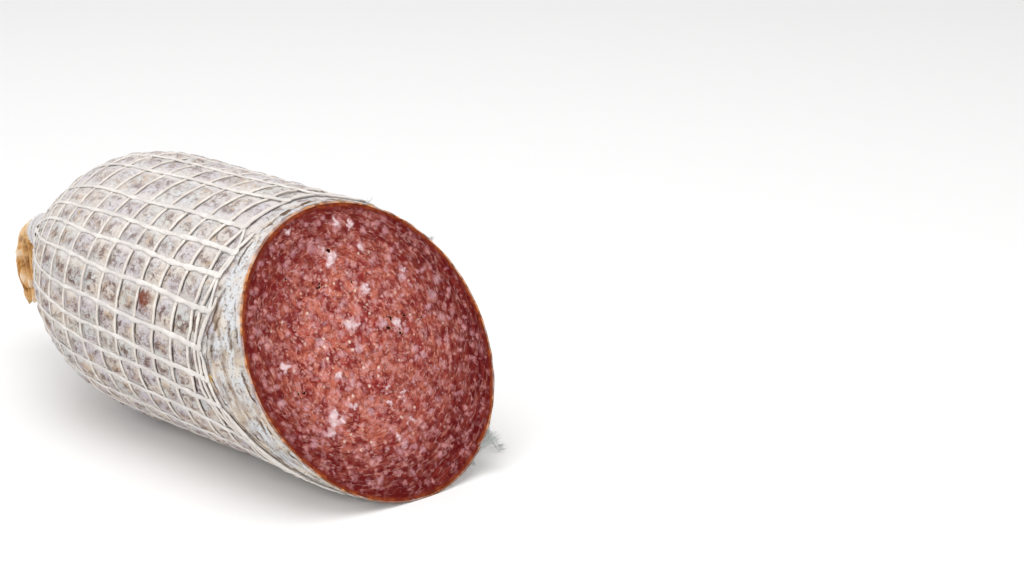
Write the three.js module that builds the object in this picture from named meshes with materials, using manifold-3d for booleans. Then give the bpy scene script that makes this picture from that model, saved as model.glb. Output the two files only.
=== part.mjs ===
// Half of a large dry-cured salami lying on a table: the meat in its casing, cut aslant at one end
// and gathered to a neck at the other, in an elastic net of white cotton that is drawn together over
// the neck and tied off with string. The dry end of the casing hangs out behind the tie, and a tuft
// of loose cotton hangs from the net's cut edge.
// Millimetres, +X from the tied end to the cut face, +Z up. While the pieces are made, the origin is
// where the salami's axis meets the cut; at the end the whole moves onto the middle of its footprint.

import * as THREE from "three";
import { mergeVertices } from "three/addons/utils/BufferGeometryUtils.js";
import Module from "manifold-3d";

const wasm = await Module();
wasm.setup();

// The meat in its casing
const SALAMI_RADIUS = 47.5;
const SQUEEZE = 0.033; // how much the net draws the body in behind the cut, as a share of the radius
const SQUEEZE_LENGTH = 33;
const DOME_START = -90; // where the straight body begins to round off
const DOME_LENGTH = 69.5;
const DOME_FULLNESS = 2.95;
const DOME_POINTEDNESS = 0.87;
const GATHER_SLOPE = 0.75; // behind the dome the gathered casing runs down as a cone,
const GATHER_LENGTH = 24;
const GATHER_BLEND = 8;
const SHOULDER = 3; // and a small shoulder nips in to the neck under the tie
const SHOULDER_LENGTH = 1.2;
const NECK_START = -171.5;
const NECK_END = -178.5;
const NECK_RADIUS = 3.7;
const END_RISE = 3.6; // the tied end stands a little higher than the middle of the body
const FLAT_LEVEL = 45.7; // the underside is pressed flat this far below the axis,
const LIP_START = 20; // and beyond this station, where no net draws it in, it swells out again
const LIP_LENGTH = 4;
const SAG = 1.2; // the net draws the body in less underneath, by this much in the middle
const SALAMI_SIDES = 54;
const DOME_RINGS = 13;

// The knife's plane leans back at the top and is turned a little to the near side
const CUT_LEAN = -0.514;
const CUT_TURN = 0.16;
const BODY_STRAIGHT_FROM = -36; // the rings from here to the cut slant more and more
const SLANTED_SHARES = [0, 0.3, 0.62, 0.93];

// The net. Of the strands that run along, these lie on the near side and the top, at these angles in
// degrees, and the others lie evenly behind and below
const NET_LINES = 28;
const NEAR_LINES = [-34, -20, -8, 1, 12, 26, 38, 48, 59, 77, 91];
const HOOP_PITCH = 9.6;
const FIRST_HOOP = -38.5; // the last hoop that still lies square, before those the knife pushed back
const HOOPS_TO_CUT = 6;
const LAST_HOOP_ROOM = 4; // no hoop lies closer to the collar than this
const NET_GAP = 0.7; // crossings stand off the casing, so that the straight strands between clear it
const LINE_WIDTH = 1.6;
const HOOP_WIDTH = 1.3;
const STRAND_HEIGHT = 1.1;
const FULL_WIDTH_GIRTH = 0.55; // the strands lie closer and thinner where the salami is under this girth
const WANDER = 8; // degrees that the long strands fan out for each radius travelled
const WANDER_CENTRE = 105; // and how far behind the cut they lie evenly
const HOOP_LEAN = 9.5; // the hoops run ahead towards the cut over the top,
const LEAN_ANGLE = 105; // most at this angle
const LEAN_SPREAD = 82; // and not at all this much further round
const BARE_MARGIN = 4; // casing left bare between the net and the cut
const PUSHED_MARGIN = 19; // and this much more on the near side, where the net has slid back
const PUSHED_ANGLE = -14;
const PUSHED_SPREAD = 42;
const BUNCH_DEPTH = 9.5; // the pushed hoops crowd together in a band this deep
const STRAND_END_MIN = 1.5; // the long strands' cut ends stick out past their last hoop by this
const STRAND_END_MAX = 4.5;
const STRAND_SWAY = 1.2; // a crossing is off its strand's angle by up to half of this, in degrees,
const HOOP_SWAY = 0.8; // and off its hoop's station by up to half of this

// The collar of gathered net, over the neck
const PLEATS = 14;
const PLEAT_DEPTH = 0.25;
const COLLAR_START = -163.5;
const COLLAR_LIFT = 0.4;
const COLLAR_WALL = 1.2;
const WAIST_RADIUS = 5.7;
const COLLAR_BORE = 4.3;
const COLLAR_END = -178.9;

// A tuft of loose cotton hangs from the cut edge of the net on the far side
const FRAY_RADIUS = 0.8;
const FRAY_COUNT = 3;
const FRAY_ANGLE = -172;
const FRAY_LIFT = 1.3; // its root lies this far off the casing
const FRAY_FROM_CUT = 2.6;
const FRAY_FAN = 3.5; // the strands' feet lie this far apart on the table
const FRAY_KICK = 3; // and their last stretch turns out by this much
const FRAY_PARTING = 0.3; // each parts from the first this share of the way further down

// The string tie
const STRING_RADIUS = 1;
const TIE_RADIUS = 7.3;
const TIE_START = -172.9;
const TIE_PITCH = 2.2;
const TIE_TURNS = 2;
const KNOT_ANGLE = 195;
const KNOT_RADIUS = 2.3;
const STRING_END_LENGTH = 9;

// The end of the casing
const TAIL_GAP = 0.4;
const TAIL_BENDS = [
  // it leaves the neck along the axis and bends down: how far behind the neck, and how far below
  [0, 0],
  [1.5, 0.1],
  [6.4, 4.8],
  [7.3, 12],
  [5.6, 20],
  [2.4, 28.5],
];
const TAIL_ROOT_RADIUS = 3.6;
const TAIL_HALF_WIDTH = 5.2;
const TAIL_FOOT_TAPER = 0.35; // the flap's lower end is narrower by this share
const TAIL_HALF_THICKNESS = 2;
const TAIL_FOLDS = 3;
const TAIL_FOLD_DEPTH = 1.4;
const TAIL_CURL = 2;

const casingWhite = new THREE.MeshStandardMaterial({ color: 0xc9beb8, roughness: 0.9, metalness: 0 });
const cottonWhite = new THREE.MeshStandardMaterial({ color: 0xeae3dc, roughness: 0.95, metalness: 0 });
const parchmentYellow = new THREE.MeshStandardMaterial({ color: 0xc29e70, roughness: 0.6, metalness: 0 });
const stringWhite = new THREE.MeshStandardMaterial({ color: 0xe6dfd2, roughness: 0.95, metalness: 0 });

const radians = THREE.MathUtils.degToRad;

// A small generator of even random numbers from 0 to 1, the same in every run.
function seededRandom(seed) {
  let state = seed;
  return () => {
    state = (state * 1664525 + 1013904223) % 4294967296;
    return state / 4294967296;
  };
}

// The angle between two directions round the axis, in degrees, from -180 to 180.
function turnBetween(angle, reference) {
  return ((((angle - reference + 180) % 360) + 360) % 360) - 180;
}

// The salami's radius at a station: a straight body, drawn in a little by the net, that rounds off at
// the tied end and runs down in a cone to a thin neck.
function radiusAt(x) {
  const squeezed = 1 - SQUEEZE * THREE.MathUtils.smoothstep(-x, 0, SQUEEZE_LENGTH);
  const along = THREE.MathUtils.clamp((DOME_START - x) / DOME_LENGTH, 0, 1);
  const dome = SALAMI_RADIUS * squeezed * (1 - along ** DOME_FULLNESS) ** DOME_POINTEDNESS;
  const ahead = THREE.MathUtils.clamp(x - NECK_START, 0, GATHER_LENGTH);
  const shoulder = SHOULDER * (1 - Math.exp(-ahead / SHOULDER_LENGTH));
  const cone = NECK_RADIUS + shoulder + GATHER_SLOPE * ahead;
  return (dome ** GATHER_BLEND + cone ** GATHER_BLEND) ** (1 / GATHER_BLEND);
}

// How high the middle of the section lies at a station.
function riseAt(x) {
  return END_RISE * THREE.MathUtils.smoothstep(DOME_START - x, 0, DOME_START - NECK_START);
}

// How far below the axis the underside is pressed flat at a station.
function flatLevelAt(x) {
  const swell = THREE.MathUtils.smoothstep(x, LIP_START, LIP_START + LIP_LENGTH);
  return THREE.MathUtils.lerp(FLAT_LEVEL, SALAMI_RADIUS, swell);
}

// How far the skin sags at a station and an angle: only underneath, and not at either end.
function sagAt(x, angle) {
  const girth = radiusAt(x) / SALAMI_RADIUS;
  const below = Math.max(0, -Math.sin(radians(angle)));
  return SAG * THREE.MathUtils.smoothstep(-x, 0, SQUEEZE_LENGTH) * girth ** 4 * below ** 3;
}

// A point on the salami, or lifted off it along its normal. The angle is 0 on the near side, -Y, and
// 90 on top. The underside is flat, and whatever lies under it is flat there too.
function surfacePoint(x, angle, lift = 0) {
  const step = 0.01;
  const slope = (radiusAt(x + step) - radiusAt(x - step)) / (2 * step);
  const length = Math.hypot(1, slope);
  const radius = radiusAt(x) + lift / length;
  const height = riseAt(x) + Math.sin(radians(angle)) * radius - sagAt(x, angle);
  return new THREE.Vector3(
    x - (lift * slope) / length,
    -Math.cos(radians(angle)) * radius,
    Math.max(height, -(flatLevelAt(x) + lift)),
  );
}

// Where the knife's plane meets the skin at an angle.
function cutPoint(angle) {
  const point = surfacePoint(0, angle);
  for (let pass = 0; pass < 6; pass++) {
    point.x = CUT_TURN * point.y + CUT_LEAN * point.z;
    point.copy(surfacePoint(point.x, angle));
  }
  point.x = CUT_TURN * point.y + CUT_LEAN * point.z;
  return point;
}

// A geometry from points and triangles of point numbers.
function geometryFrom(points, triangles) {
  const geometry = new THREE.BufferGeometry();
  geometry.setFromPoints(points);
  geometry.setIndex(triangles);
  geometry.computeVertexNormals();
  return geometry;
}

// The skin of a solid through rings of equally many points, each ring turning the same way round.
function skinTriangles(ringCount, sides) {
  const triangles = [];
  for (let ring = 0; ring < ringCount - 1; ring++) {
    const near = ring * sides;
    const far = near + sides;
    for (let side = 0; side < sides; side++) {
      const next = (side + 1) % sides;
      triangles.push(near + side, far + side, far + next);
      triangles.push(near + side, far + next, near + next);
    }
  }
  return triangles;
}

// A closed solid through rings, with a point at the middle of either end.
function loft(rings, firstMiddle, lastMiddle) {
  const sides = rings[0].length;
  const triangles = skinTriangles(rings.length, sides);
  const points = [...rings.flat(), firstMiddle, lastMiddle];
  const first = points.length - 2;
  const last = points.length - 1;
  const end = (rings.length - 1) * sides;
  for (let side = 0; side < sides; side++) {
    const next = (side + 1) % sides;
    triangles.push(first, side, next);
    triangles.push(last, end + next, end + side);
  }
  return geometryFrom(points, triangles);
}

// The same for flat rings, which start at the middle of one broad side: either end is closed by
// strips straight across the thickness, so that it follows the folds.
function flatLoft(rings) {
  const sides = rings[0].length;
  const triangles = skinTriangles(rings.length, sides);
  const end = (rings.length - 1) * sides;
  const strip = (low, corners) => {
    const [a, b, c, d] = corners.map((corner) => low + ((corner + sides) % sides));
    if (c !== b) triangles.push(...(low ? [a, c, b] : [a, b, c]));
    if (d !== a) triangles.push(...(low ? [a, d, c] : [a, c, d]));
  };
  for (let side = -sides / 4; side < sides / 4; side++) {
    const across = sides / 2 - side;
    for (const low of [0, end]) strip(low, [side, side + 1, across - 1, across]);
  }
  return geometryFrom(rings.flat(), triangles);
}

// A ring of points round the salami's axis. The angle grows from the near side over the top.
function ringOf(sides, pointAt) {
  return Array.from({ length: sides }, (_, side) => pointAt((360 * side) / sides));
}

// A three.js geometry as a manifold-3d solid, and back.
function solidFrom(geometry) {
  const bare = new THREE.BufferGeometry();
  bare.setAttribute("position", geometry.getAttribute("position"));
  bare.setIndex(geometry.getIndex());
  const merged = mergeVertices(bare, 1e-4);
  return new wasm.Manifold(
    new wasm.Mesh({
      numProp: 3,
      vertProperties: merged.getAttribute("position").array,
      triVerts: new Uint32Array(merged.getIndex().array),
    }),
  );
}

function geometryOf(solid) {
  const mesh = solid.getMesh();
  const geometry = new THREE.BufferGeometry();
  geometry.setAttribute("position", new THREE.BufferAttribute(mesh.vertProperties, 3));
  geometry.setIndex(new THREE.BufferAttribute(mesh.triVerts, 1));
  geometry.computeVertexNormals();
  return geometry;
}

function joined(geometries) {
  return geometryOf(geometries.map(solidFrom).reduce((whole, piece) => whole.add(piece)));
}

// A round cord along a list of points, closed at both ends.
function cord(points, radius, sides, steps) {
  const outline = new THREE.Shape();
  for (let side = 0; side < sides; side++) {
    const turn = (2 * Math.PI * side) / sides;
    const corner = [radius * Math.cos(turn), radius * Math.sin(turn)];
    if (side === 0) outline.moveTo(...corner);
    else outline.lineTo(...corner);
  }
  outline.closePath();
  const path = new THREE.CatmullRomCurve3(points);
  const tube = new THREE.ExtrudeGeometry(outline, { steps, extrudePath: path, bevelEnabled: false });
  tube.deleteAttribute("normal");
  tube.deleteAttribute("uv");
  return mergeVertices(tube, 1e-4);
}

// The meat and its casing are one solid: rings from the neck over the dome and along the body, the
// last ones slanting more and more until they lie in the knife's plane.
function salami() {
  const stations = [NECK_END, (NECK_START + NECK_END) / 2];
  for (let ring = DOME_RINGS; ring >= 0; ring--) {
    stations.push(DOME_START - (DOME_START - NECK_START) * Math.sin((Math.PI * ring) / (2 * DOME_RINGS)));
  }
  stations.push((DOME_START + BODY_STRAIGHT_FROM) / 2);
  const rings = stations.map((x) => ringOf(SALAMI_SIDES, (angle) => surfacePoint(x, angle)));
  for (const share of SLANTED_SHARES) {
    const slanted = (angle) => {
      const x = THREE.MathUtils.lerp(BODY_STRAIGHT_FROM, cutPoint(angle).x, share);
      return surfacePoint(x, angle);
    };
    rings.push(ringOf(SALAMI_SIDES, slanted));
  }
  rings.push(ringOf(SALAMI_SIDES, cutPoint));
  return loft(rings, new THREE.Vector3(NECK_END, 0, END_RISE), new THREE.Vector3(0, 0, 0));
}

// Stations of the hoops from the cut to the tied end, a pitch apart along the skin, and a last one
// in the collar.
function hoopStations() {
  const stations = [];
  for (let hoop = HOOPS_TO_CUT; hoop > 0; hoop--) {
    stations.push(FIRST_HOOP + hoop * HOOP_PITCH);
  }
  const step = 0.1;
  let travelled = HOOP_PITCH;
  for (let x = FIRST_HOOP; x > COLLAR_START + LAST_HOOP_ROOM; x -= step) {
    if (travelled >= HOOP_PITCH) {
      stations.push(x);
      travelled -= HOOP_PITCH;
    }
    travelled += Math.hypot(step, radiusAt(x) - radiusAt(x - step));
  }
  stations.push(COLLAR_START - 1.5);
  return stations;
}

// How far a hoop runs ahead at an angle: most just past the top, not at all underneath.
function hoopLean(angle) {
  const away = Math.min(1, Math.abs(turnBetween(angle, LEAN_ANGLE)) / LEAN_SPREAD);
  return HOOP_LEAN * Math.cos((Math.PI / 2) * away) ** 2;
}

// The station that the net's cut end has slid back to at an angle.
function netEnd(angle) {
  const away = turnBetween(angle, PUSHED_ANGLE) / PUSHED_SPREAD;
  return cutPoint(angle).x - BARE_MARGIN - PUSHED_MARGIN * Math.exp(-away * away);
}

// The angles of all the strands that run along.
function lineAngles() {
  const last = NEAR_LINES[NEAR_LINES.length - 1];
  const pitch = (360 + NEAR_LINES[0] - last) / (NET_LINES - NEAR_LINES.length + 1);
  const angles = [...NEAR_LINES];
  while (angles.length < NET_LINES) {
    angles.push(angles[angles.length - 1] + pitch);
  }
  return angles;
}

// The net's crossings, hoop by hoop from the cut and strand by strand round, as a station, an angle
// and the half widths of the two strands there, or null where the knife took the crossing away.
function netCrossings() {
  const random = seededRandom(7);
  const angles = lineAngles();
  return hoopStations().map((station) => {
    const girth = radiusAt(station) / SALAMI_RADIUS;
    const evenness = Math.min(1, girth) ** 4;
    const wander = (station + WANDER_CENTRE) / SALAMI_RADIUS;
    return angles.map((line) => {
      const fan = WANDER * Math.sin(radians(line - 45)) * wander * evenness;
      const angle = line + fan + STRAND_SWAY * (random() - 0.5);
      const regular = station + hoopLean(angle) * evenness + HOOP_SWAY * (random() - 0.5);
      const cut = cutPoint(angle).x;
      if (regular > cut - 2) return null;
      const bunched = netEnd(angle) - BUNCH_DEPTH;
      const crowding = regular < bunched ? 1 : BUNCH_DEPTH / (cut - bunched);
      const x = regular < bunched ? regular : bunched + (regular - bunched) * crowding;
      const slant = Math.hypot(1, (radiusAt(x + 0.1) - radiusAt(x - 0.1)) / 0.2);
      const lineWidth = LINE_WIDTH * Math.min(1, girth / FULL_WIDTH_GIRTH);
      return {
        x,
        angle,
        halfHoop: ((HOOP_WIDTH / 2) * Math.max(0.7, Math.min(1, 2.4 * crowding))) / slant,
        halfTurn: THREE.MathUtils.radToDeg(lineWidth / 2 / radiusAt(x)),
      };
    });
  });
}

// The net as a lattice. Each crossing has four corners on the skin side and one ridge point outside,
// and strands of a three-cornered section run between neighbouring crossings. Strands that end at
// the cut taper to a tip.
function lattice(crossings) {
  const points = [];
  const triangles = [];
  const random = seededRandom(5);
  const place = (x, angle, lift) => points.push(surfacePoint(x, angle, lift)) - 1;
  const quad = (a, b, c, d) => triangles.push(a, b, c, a, c, d);

  const corners = crossings.map((hoop) =>
    hoop.map((at) => {
      if (!at) return null;
      return {
        lowLow: place(at.x - at.halfHoop, at.angle - at.halfTurn, NET_GAP),
        highLow: place(at.x + at.halfHoop, at.angle - at.halfTurn, NET_GAP),
        lowHigh: place(at.x - at.halfHoop, at.angle + at.halfTurn, NET_GAP),
        highHigh: place(at.x + at.halfHoop, at.angle + at.halfTurn, NET_GAP),
        ridge: place(at.x, at.angle, NET_GAP + STRAND_HEIGHT),
      };
    }),
  );

  const strandAlong = (here, ahead) => {
    quad(here.highLow, here.highHigh, ahead.lowHigh, ahead.lowLow);
    quad(here.highLow, ahead.lowLow, ahead.ridge, here.ridge);
    quad(here.ridge, ahead.ridge, ahead.lowHigh, here.highHigh);
  };
  const strandRound = (here, above) => {
    quad(here.lowHigh, above.lowLow, above.highLow, here.highHigh);
    quad(here.ridge, above.ridge, above.lowLow, here.lowHigh);
    quad(here.highHigh, above.highLow, above.ridge, here.ridge);
  };
  const strandTip = (here, at) => {
    const reach = at.x + THREE.MathUtils.lerp(STRAND_END_MIN, STRAND_END_MAX, random());
    const x = Math.min(reach, cutPoint(at.angle).x - 0.5);
    const tip = place(x, at.angle + 3 * (random() - 0.5), NET_GAP + 0.3);
    triangles.push(here.highLow, here.highHigh, tip);
    triangles.push(here.highHigh, here.ridge, tip);
    triangles.push(here.ridge, here.highLow, tip);
  };

  corners.forEach((hoop, number) => {
    hoop.forEach((here, line) => {
      if (!here) return;
      const ahead = corners[number - 1]?.[line];
      const behind = corners[number + 1]?.[line];
      const above = hoop[(line + 1) % NET_LINES];
      const below = hoop[(line + NET_LINES - 1) % NET_LINES];
      quad(here.lowLow, here.lowHigh, here.highHigh, here.highLow);
      if (ahead) strandAlong(here, ahead);
      else strandTip(here, crossings[number][line]);
      if (above) strandRound(here, above);
      else triangles.push(here.highHigh, here.lowHigh, here.ridge);
      if (!behind) triangles.push(here.lowHigh, here.lowLow, here.ridge);
      if (!below) triangles.push(here.lowLow, here.highLow, here.ridge);
    });
  });
  return geometryFrom(points, triangles);
}

// A point at an angle and a distance round the middle of the tied end.
function roundEnd(x, angle, radius) {
  const turn = radians(angle);
  return new THREE.Vector3(x, -Math.cos(turn) * radius, END_RISE + Math.sin(turn) * radius);
}

// A pleated sleeve round the tied end, from an outer profile and a bore, both lists of [x, radius] with
// equally many entries from the body outwards.
function sleeve(outer, bore, sides) {
  const wall = (profile, pleatDepth) =>
    profile.map(([x, radius]) =>
      ringOf(sides, (angle) => {
        return roundEnd(x, angle, radius + pleatDepth * Math.cos(radians(angle) * PLEATS));
      }),
    );
  const rings = [...wall(outer, PLEAT_DEPTH), ...wall(bore, 0).reverse()];
  const points = rings.flat();
  const triangles = [];
  for (let ring = 0; ring < rings.length; ring++) {
    const near = ring * sides;
    const far = ((ring + 1) % rings.length) * sides;
    for (let side = 0; side < sides; side++) {
      const next = (side + 1) % sides;
      triangles.push(near + side, near + next, far + next);
      triangles.push(near + side, far + next, far + side);
    }
  }
  return geometryFrom(points, triangles);
}

// The gathered strands over the neck, nipped in where the string holds them and frayed out behind.
function collar() {
  const offSkin = (x, lift) => {
    const point = surfacePoint(x, 90, lift);
    return [point.x, point.z - riseAt(x)];
  };
  const outer = [
    offSkin(COLLAR_START, COLLAR_LIFT + COLLAR_WALL),
    offSkin(COLLAR_START - 3, COLLAR_LIFT + COLLAR_WALL),
    offSkin(NECK_START + 1.4, COLLAR_LIFT + COLLAR_WALL),
    [TIE_START + 1.3, WAIST_RADIUS + 0.4],
    [TIE_START + 0.4, WAIST_RADIUS],
    [COLLAR_END + 1.6, WAIST_RADIUS],
    [COLLAR_END, WAIST_RADIUS + 0.8],
  ];
  const bore = [
    offSkin(COLLAR_START, COLLAR_LIFT),
    offSkin(COLLAR_START - 3, COLLAR_LIFT),
    offSkin(NECK_START + 1.4, COLLAR_LIFT),
    [NECK_START - 0.4, COLLAR_BORE + 0.2],
    [NECK_START - 1.5, COLLAR_BORE],
    [COLLAR_END + 2, COLLAR_BORE],
    [COLLAR_END, COLLAR_BORE + 0.5],
  ];
  return sleeve(outer, bore, NET_LINES);
}

function netting() {
  return joined([lattice(netCrossings()), collar()]);
}

// The tuft by the cut: one strand hangs straight down and turns out on the table, and others part from
// it on the way and land beside it.
function frayedEnds() {
  const table = -(FLAT_LEVEL + NET_GAP + STRAND_HEIGHT) + FRAY_RADIUS;
  const root = surfacePoint(cutPoint(FRAY_ANGLE).x - FRAY_FROM_CUT, FRAY_ANGLE, FRAY_LIFT);
  const strands = [];
  for (let strand = 0; strand < FRAY_COUNT; strand++) {
    const fan = FRAY_FAN * strand;
    const parting = root.clone().lerp(new THREE.Vector3(root.x, root.y, table), FRAY_PARTING * strand);
    const middle = (parting.z + table) / 2;
    const bends = [
      parting,
      new THREE.Vector3(root.x + 0.5 * fan, root.y - 0.25 * fan, middle),
      new THREE.Vector3(root.x + fan, root.y - 0.5 * fan, table + 4),
      new THREE.Vector3(root.x + fan + FRAY_KICK / 2, root.y + FRAY_KICK / 2 - 0.6 * fan, table + 0.6),
      new THREE.Vector3(root.x + fan + FRAY_KICK, root.y + FRAY_KICK - 0.6 * fan, table),
    ];
    strands.push(cord(bends, FRAY_RADIUS, 6, 12));
  }
  return joined(strands);
}

// The string: turns laid side by side round the waist of the collar, a knot on them, and two ends.
function tieString() {
  const steps = 20 * TIE_TURNS;
  const winding = Array.from({ length: steps + 1 }, (_, step) => {
    const turns = step / 20;
    return roundEnd(TIE_START - TIE_PITCH * turns, KNOT_ANGLE + 360 * turns, TIE_RADIUS);
  });
  const middle = TIE_START - (TIE_PITCH * TIE_TURNS) / 2;
  const knot = new THREE.SphereGeometry(KNOT_RADIUS, 12, 8);
  knot.scale(1.25, 1, 1);
  knot.deleteAttribute("normal");
  knot.deleteAttribute("uv");
  const seat = roundEnd(middle, KNOT_ANGLE, TIE_RADIUS + 1.2);
  knot.translate(seat.x, seat.y, seat.z);
  const ends = [-1, 1].map((side) =>
    cord(
      [
        seat,
        roundEnd(middle - 1, KNOT_ANGLE + 14 * side, TIE_RADIUS + 3.5),
        roundEnd(middle - 2 * side - 2, KNOT_ANGLE + 34 * side, TIE_RADIUS + 4.5),
        roundEnd(middle - 3, KNOT_ANGLE + 52 * side, TIE_RADIUS + STRING_END_LENGTH / 3),
      ],
      0.9 * STRING_RADIUS,
      6,
      9,
    ),
  );
  return joined([cord(winding, STRING_RADIUS, 6, steps), mergeVertices(knot, 1e-4), ...ends]);
}

// The end of the casing: round where it leaves the neck, then flattened and folded into a flap that
// hangs down behind the tie.
function casingTail() {
  const sections = 12;
  const sides = 28;
  const start = NECK_END - TAIL_GAP;
  const bends = TAIL_BENDS.map(([behind, below]) => new THREE.Vector3(start - behind, 0, END_RISE - below));
  const path = new THREE.CatmullRomCurve3(bends);
  const rings = [];
  for (let section = 0; section < sections; section++) {
    const along = section / (sections - 1);
    const centre = path.getPointAt(along);
    const tangent = path.getTangentAt(along);
    const outwards = new THREE.Vector3(tangent.z, 0, -tangent.x);
    const opening = THREE.MathUtils.smoothstep(along, 0.12, 0.65);
    const taper = 1 - TAIL_FOOT_TAPER * along ** 4;
    const width = THREE.MathUtils.lerp(TAIL_ROOT_RADIUS, TAIL_HALF_WIDTH, opening) * taper;
    const thickness = THREE.MathUtils.lerp(TAIL_ROOT_RADIUS, TAIL_HALF_THICKNESS, opening);
    rings.push(
      ringOf(sides, (angle) => {
        const across = Math.sin(radians(angle));
        const fold = TAIL_FOLD_DEPTH * opening * Math.sin(Math.PI * TAIL_FOLDS * across + 2 * along);
        const curl = TAIL_CURL * opening * along * across * across;
        const point = centre.clone().addScaledVector(outwards, width * across);
        point.y += fold - curl - Math.cos(radians(angle)) * thickness;
        return point;
      }),
    );
  }
  return flatLoft(rings.reverse());
}

function named(name, geometry, material) {
  const mesh = new THREE.Mesh(geometry, material);
  mesh.name = name;
  return mesh;
}

const group = new THREE.Group();
group.add(named("salami", salami(), casingWhite));
group.add(named("netting", netting(), cottonWhite));
group.add(named("frayed_ends", frayedEnds(), cottonWhite));
group.add(named("tie_string", tieString(), stringWhite));
group.add(named("casing_tail", casingTail(), parchmentYellow));

// The part stands on the middle of its footprint.
const box = new THREE.Box3().setFromObject(group);
const middle = box.getCenter(new THREE.Vector3());
for (const mesh of group.children) mesh.position.set(-middle.x, -middle.y, -box.min.z);

export default group;
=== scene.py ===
import math

import bpy
import numpy as np
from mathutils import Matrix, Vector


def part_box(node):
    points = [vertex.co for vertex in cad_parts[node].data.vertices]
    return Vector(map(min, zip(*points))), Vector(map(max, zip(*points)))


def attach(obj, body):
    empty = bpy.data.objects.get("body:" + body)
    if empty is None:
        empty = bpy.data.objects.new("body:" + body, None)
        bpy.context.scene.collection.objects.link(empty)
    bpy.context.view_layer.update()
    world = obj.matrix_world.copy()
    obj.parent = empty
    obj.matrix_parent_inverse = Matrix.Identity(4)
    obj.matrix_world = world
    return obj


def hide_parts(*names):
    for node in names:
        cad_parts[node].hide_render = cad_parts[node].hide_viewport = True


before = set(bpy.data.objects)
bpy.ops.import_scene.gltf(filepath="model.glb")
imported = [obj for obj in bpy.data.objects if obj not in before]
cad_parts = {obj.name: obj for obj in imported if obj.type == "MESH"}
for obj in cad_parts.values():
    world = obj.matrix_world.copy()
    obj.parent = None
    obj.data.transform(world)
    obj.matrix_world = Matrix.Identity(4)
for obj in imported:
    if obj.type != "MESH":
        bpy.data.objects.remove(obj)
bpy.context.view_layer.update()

# The casing is a wide natural gut, dried on to the meat under a bloom of white mould. The net presses
# it in along its strands, so that it swells in every mesh, and where the net has slid back from the
# cut it lies bare, with wrinkles that run round.

# Sizes are in millimetres from where the axis of the salami meets the cut. Angle 0 is on the near
# side and 90 on top.
MM = 0.001
RADIUS = 47.5
SQUEEZE, SQUEEZE_LENGTH = 0.033, 33
DOME_START, DOME_LENGTH, DOME_FULLNESS, DOME_POINTEDNESS = -90, 69.5, 2.95, 0.87
NECK_START, NECK_END, NECK_RADIUS = -171.5, -178.5, 3.7
SHOULDER, SHOULDER_LENGTH, GATHER_SLOPE, GATHER_LENGTH = 3, 1.2, 0.75, 24
END_RISE = 3.6
FLAT_LEVEL, LIP_START, LIP_LENGTH = 45.7, 20, 4
SAG = 1.2
CUT_TURN, CUT_LEAN = 0.16, -0.514
STRAIGHT_FROM = -36
CASING_WALL = 0.5
SLOPE_STEP, CUT_STEPS, FINE_STEP, FINE_ROWS = 0.01, 6, 0.1, 2000

salami_low, salami_high = (np.array(corner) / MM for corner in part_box("salami"))
net_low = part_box("netting")[0].z / MM
CUT_CENTRE = np.array([salami_low[0] - NECK_END, salami_high[1] - RADIUS, net_low + RADIUS])


def smoothstep(t):
    """0 below 0, 1 above 1, and 3t^2 - 2t^3 in between."""
    t = np.clip(t, 0, 1)
    return t * t * (3 - 2 * t)


def radius_at(x):
    """A straight body, drawn in a little behind the cut, times a dome (1 - t^f)^p, and blended as an
    eighth-power sum into a cone with a small shoulder that runs down to the neck."""
    squeezed = 1 - SQUEEZE * smoothstep(-x / SQUEEZE_LENGTH)
    t = np.clip((DOME_START - x) / DOME_LENGTH, 0, 1)
    dome = RADIUS * squeezed * (1 - t**DOME_FULLNESS) ** DOME_POINTEDNESS
    ahead = np.clip(x - NECK_START, 0, GATHER_LENGTH)
    cone = NECK_RADIUS + SHOULDER * (1 - np.exp(-ahead / SHOULDER_LENGTH)) + GATHER_SLOPE * ahead
    return (dome**8 + cone**8) ** (1 / 8)


def rise_at(x):
    """How high the middle of the section lies: the tied end stands a little higher."""
    return END_RISE * smoothstep((DOME_START - x) / (DOME_START - NECK_START))


def skin_point(x, angle, lift):
    """A point of the surface of revolution at a station and an angle in degrees, lifted along its
    normal, a little lower underneath, by the cube of the sine, and no lower than the flat underside."""
    slope = (radius_at(x + SLOPE_STEP) - radius_at(x - SLOPE_STEP)) / (2 * SLOPE_STEP)
    length = np.hypot(1, slope)
    radius = radius_at(x) + lift / length
    flat = FLAT_LEVEL + (RADIUS - FLAT_LEVEL) * smoothstep((x - LIP_START) / LIP_LENGTH)
    turn = np.radians(angle)
    along = x - lift * slope / length
    below = np.maximum(0, -np.sin(turn))
    sag = SAG * smoothstep(-x / SQUEEZE_LENGTH) * (radius_at(x) / RADIUS) ** 4 * below**3
    up = np.maximum(rise_at(x) + np.sin(turn) * radius - sag, -np.minimum(flat + lift, RADIUS))
    return np.stack(np.broadcast_arrays(along, -np.cos(turn) * radius, up), -1)


def cut_at(angle, inset=0):
    """The station where the skin, or a surface an inset inside it, meets the knife's plane
    x = turn y + lean z, found by a few steps of substitution from x = 0."""
    x = np.zeros_like(np.asarray(angle, float))
    for _ in range(CUT_STEPS):
        point = skin_point(x, angle, -inset)
        x = CUT_TURN * point[..., 1] + CUT_LEAN * point[..., 2]
    return x


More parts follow.
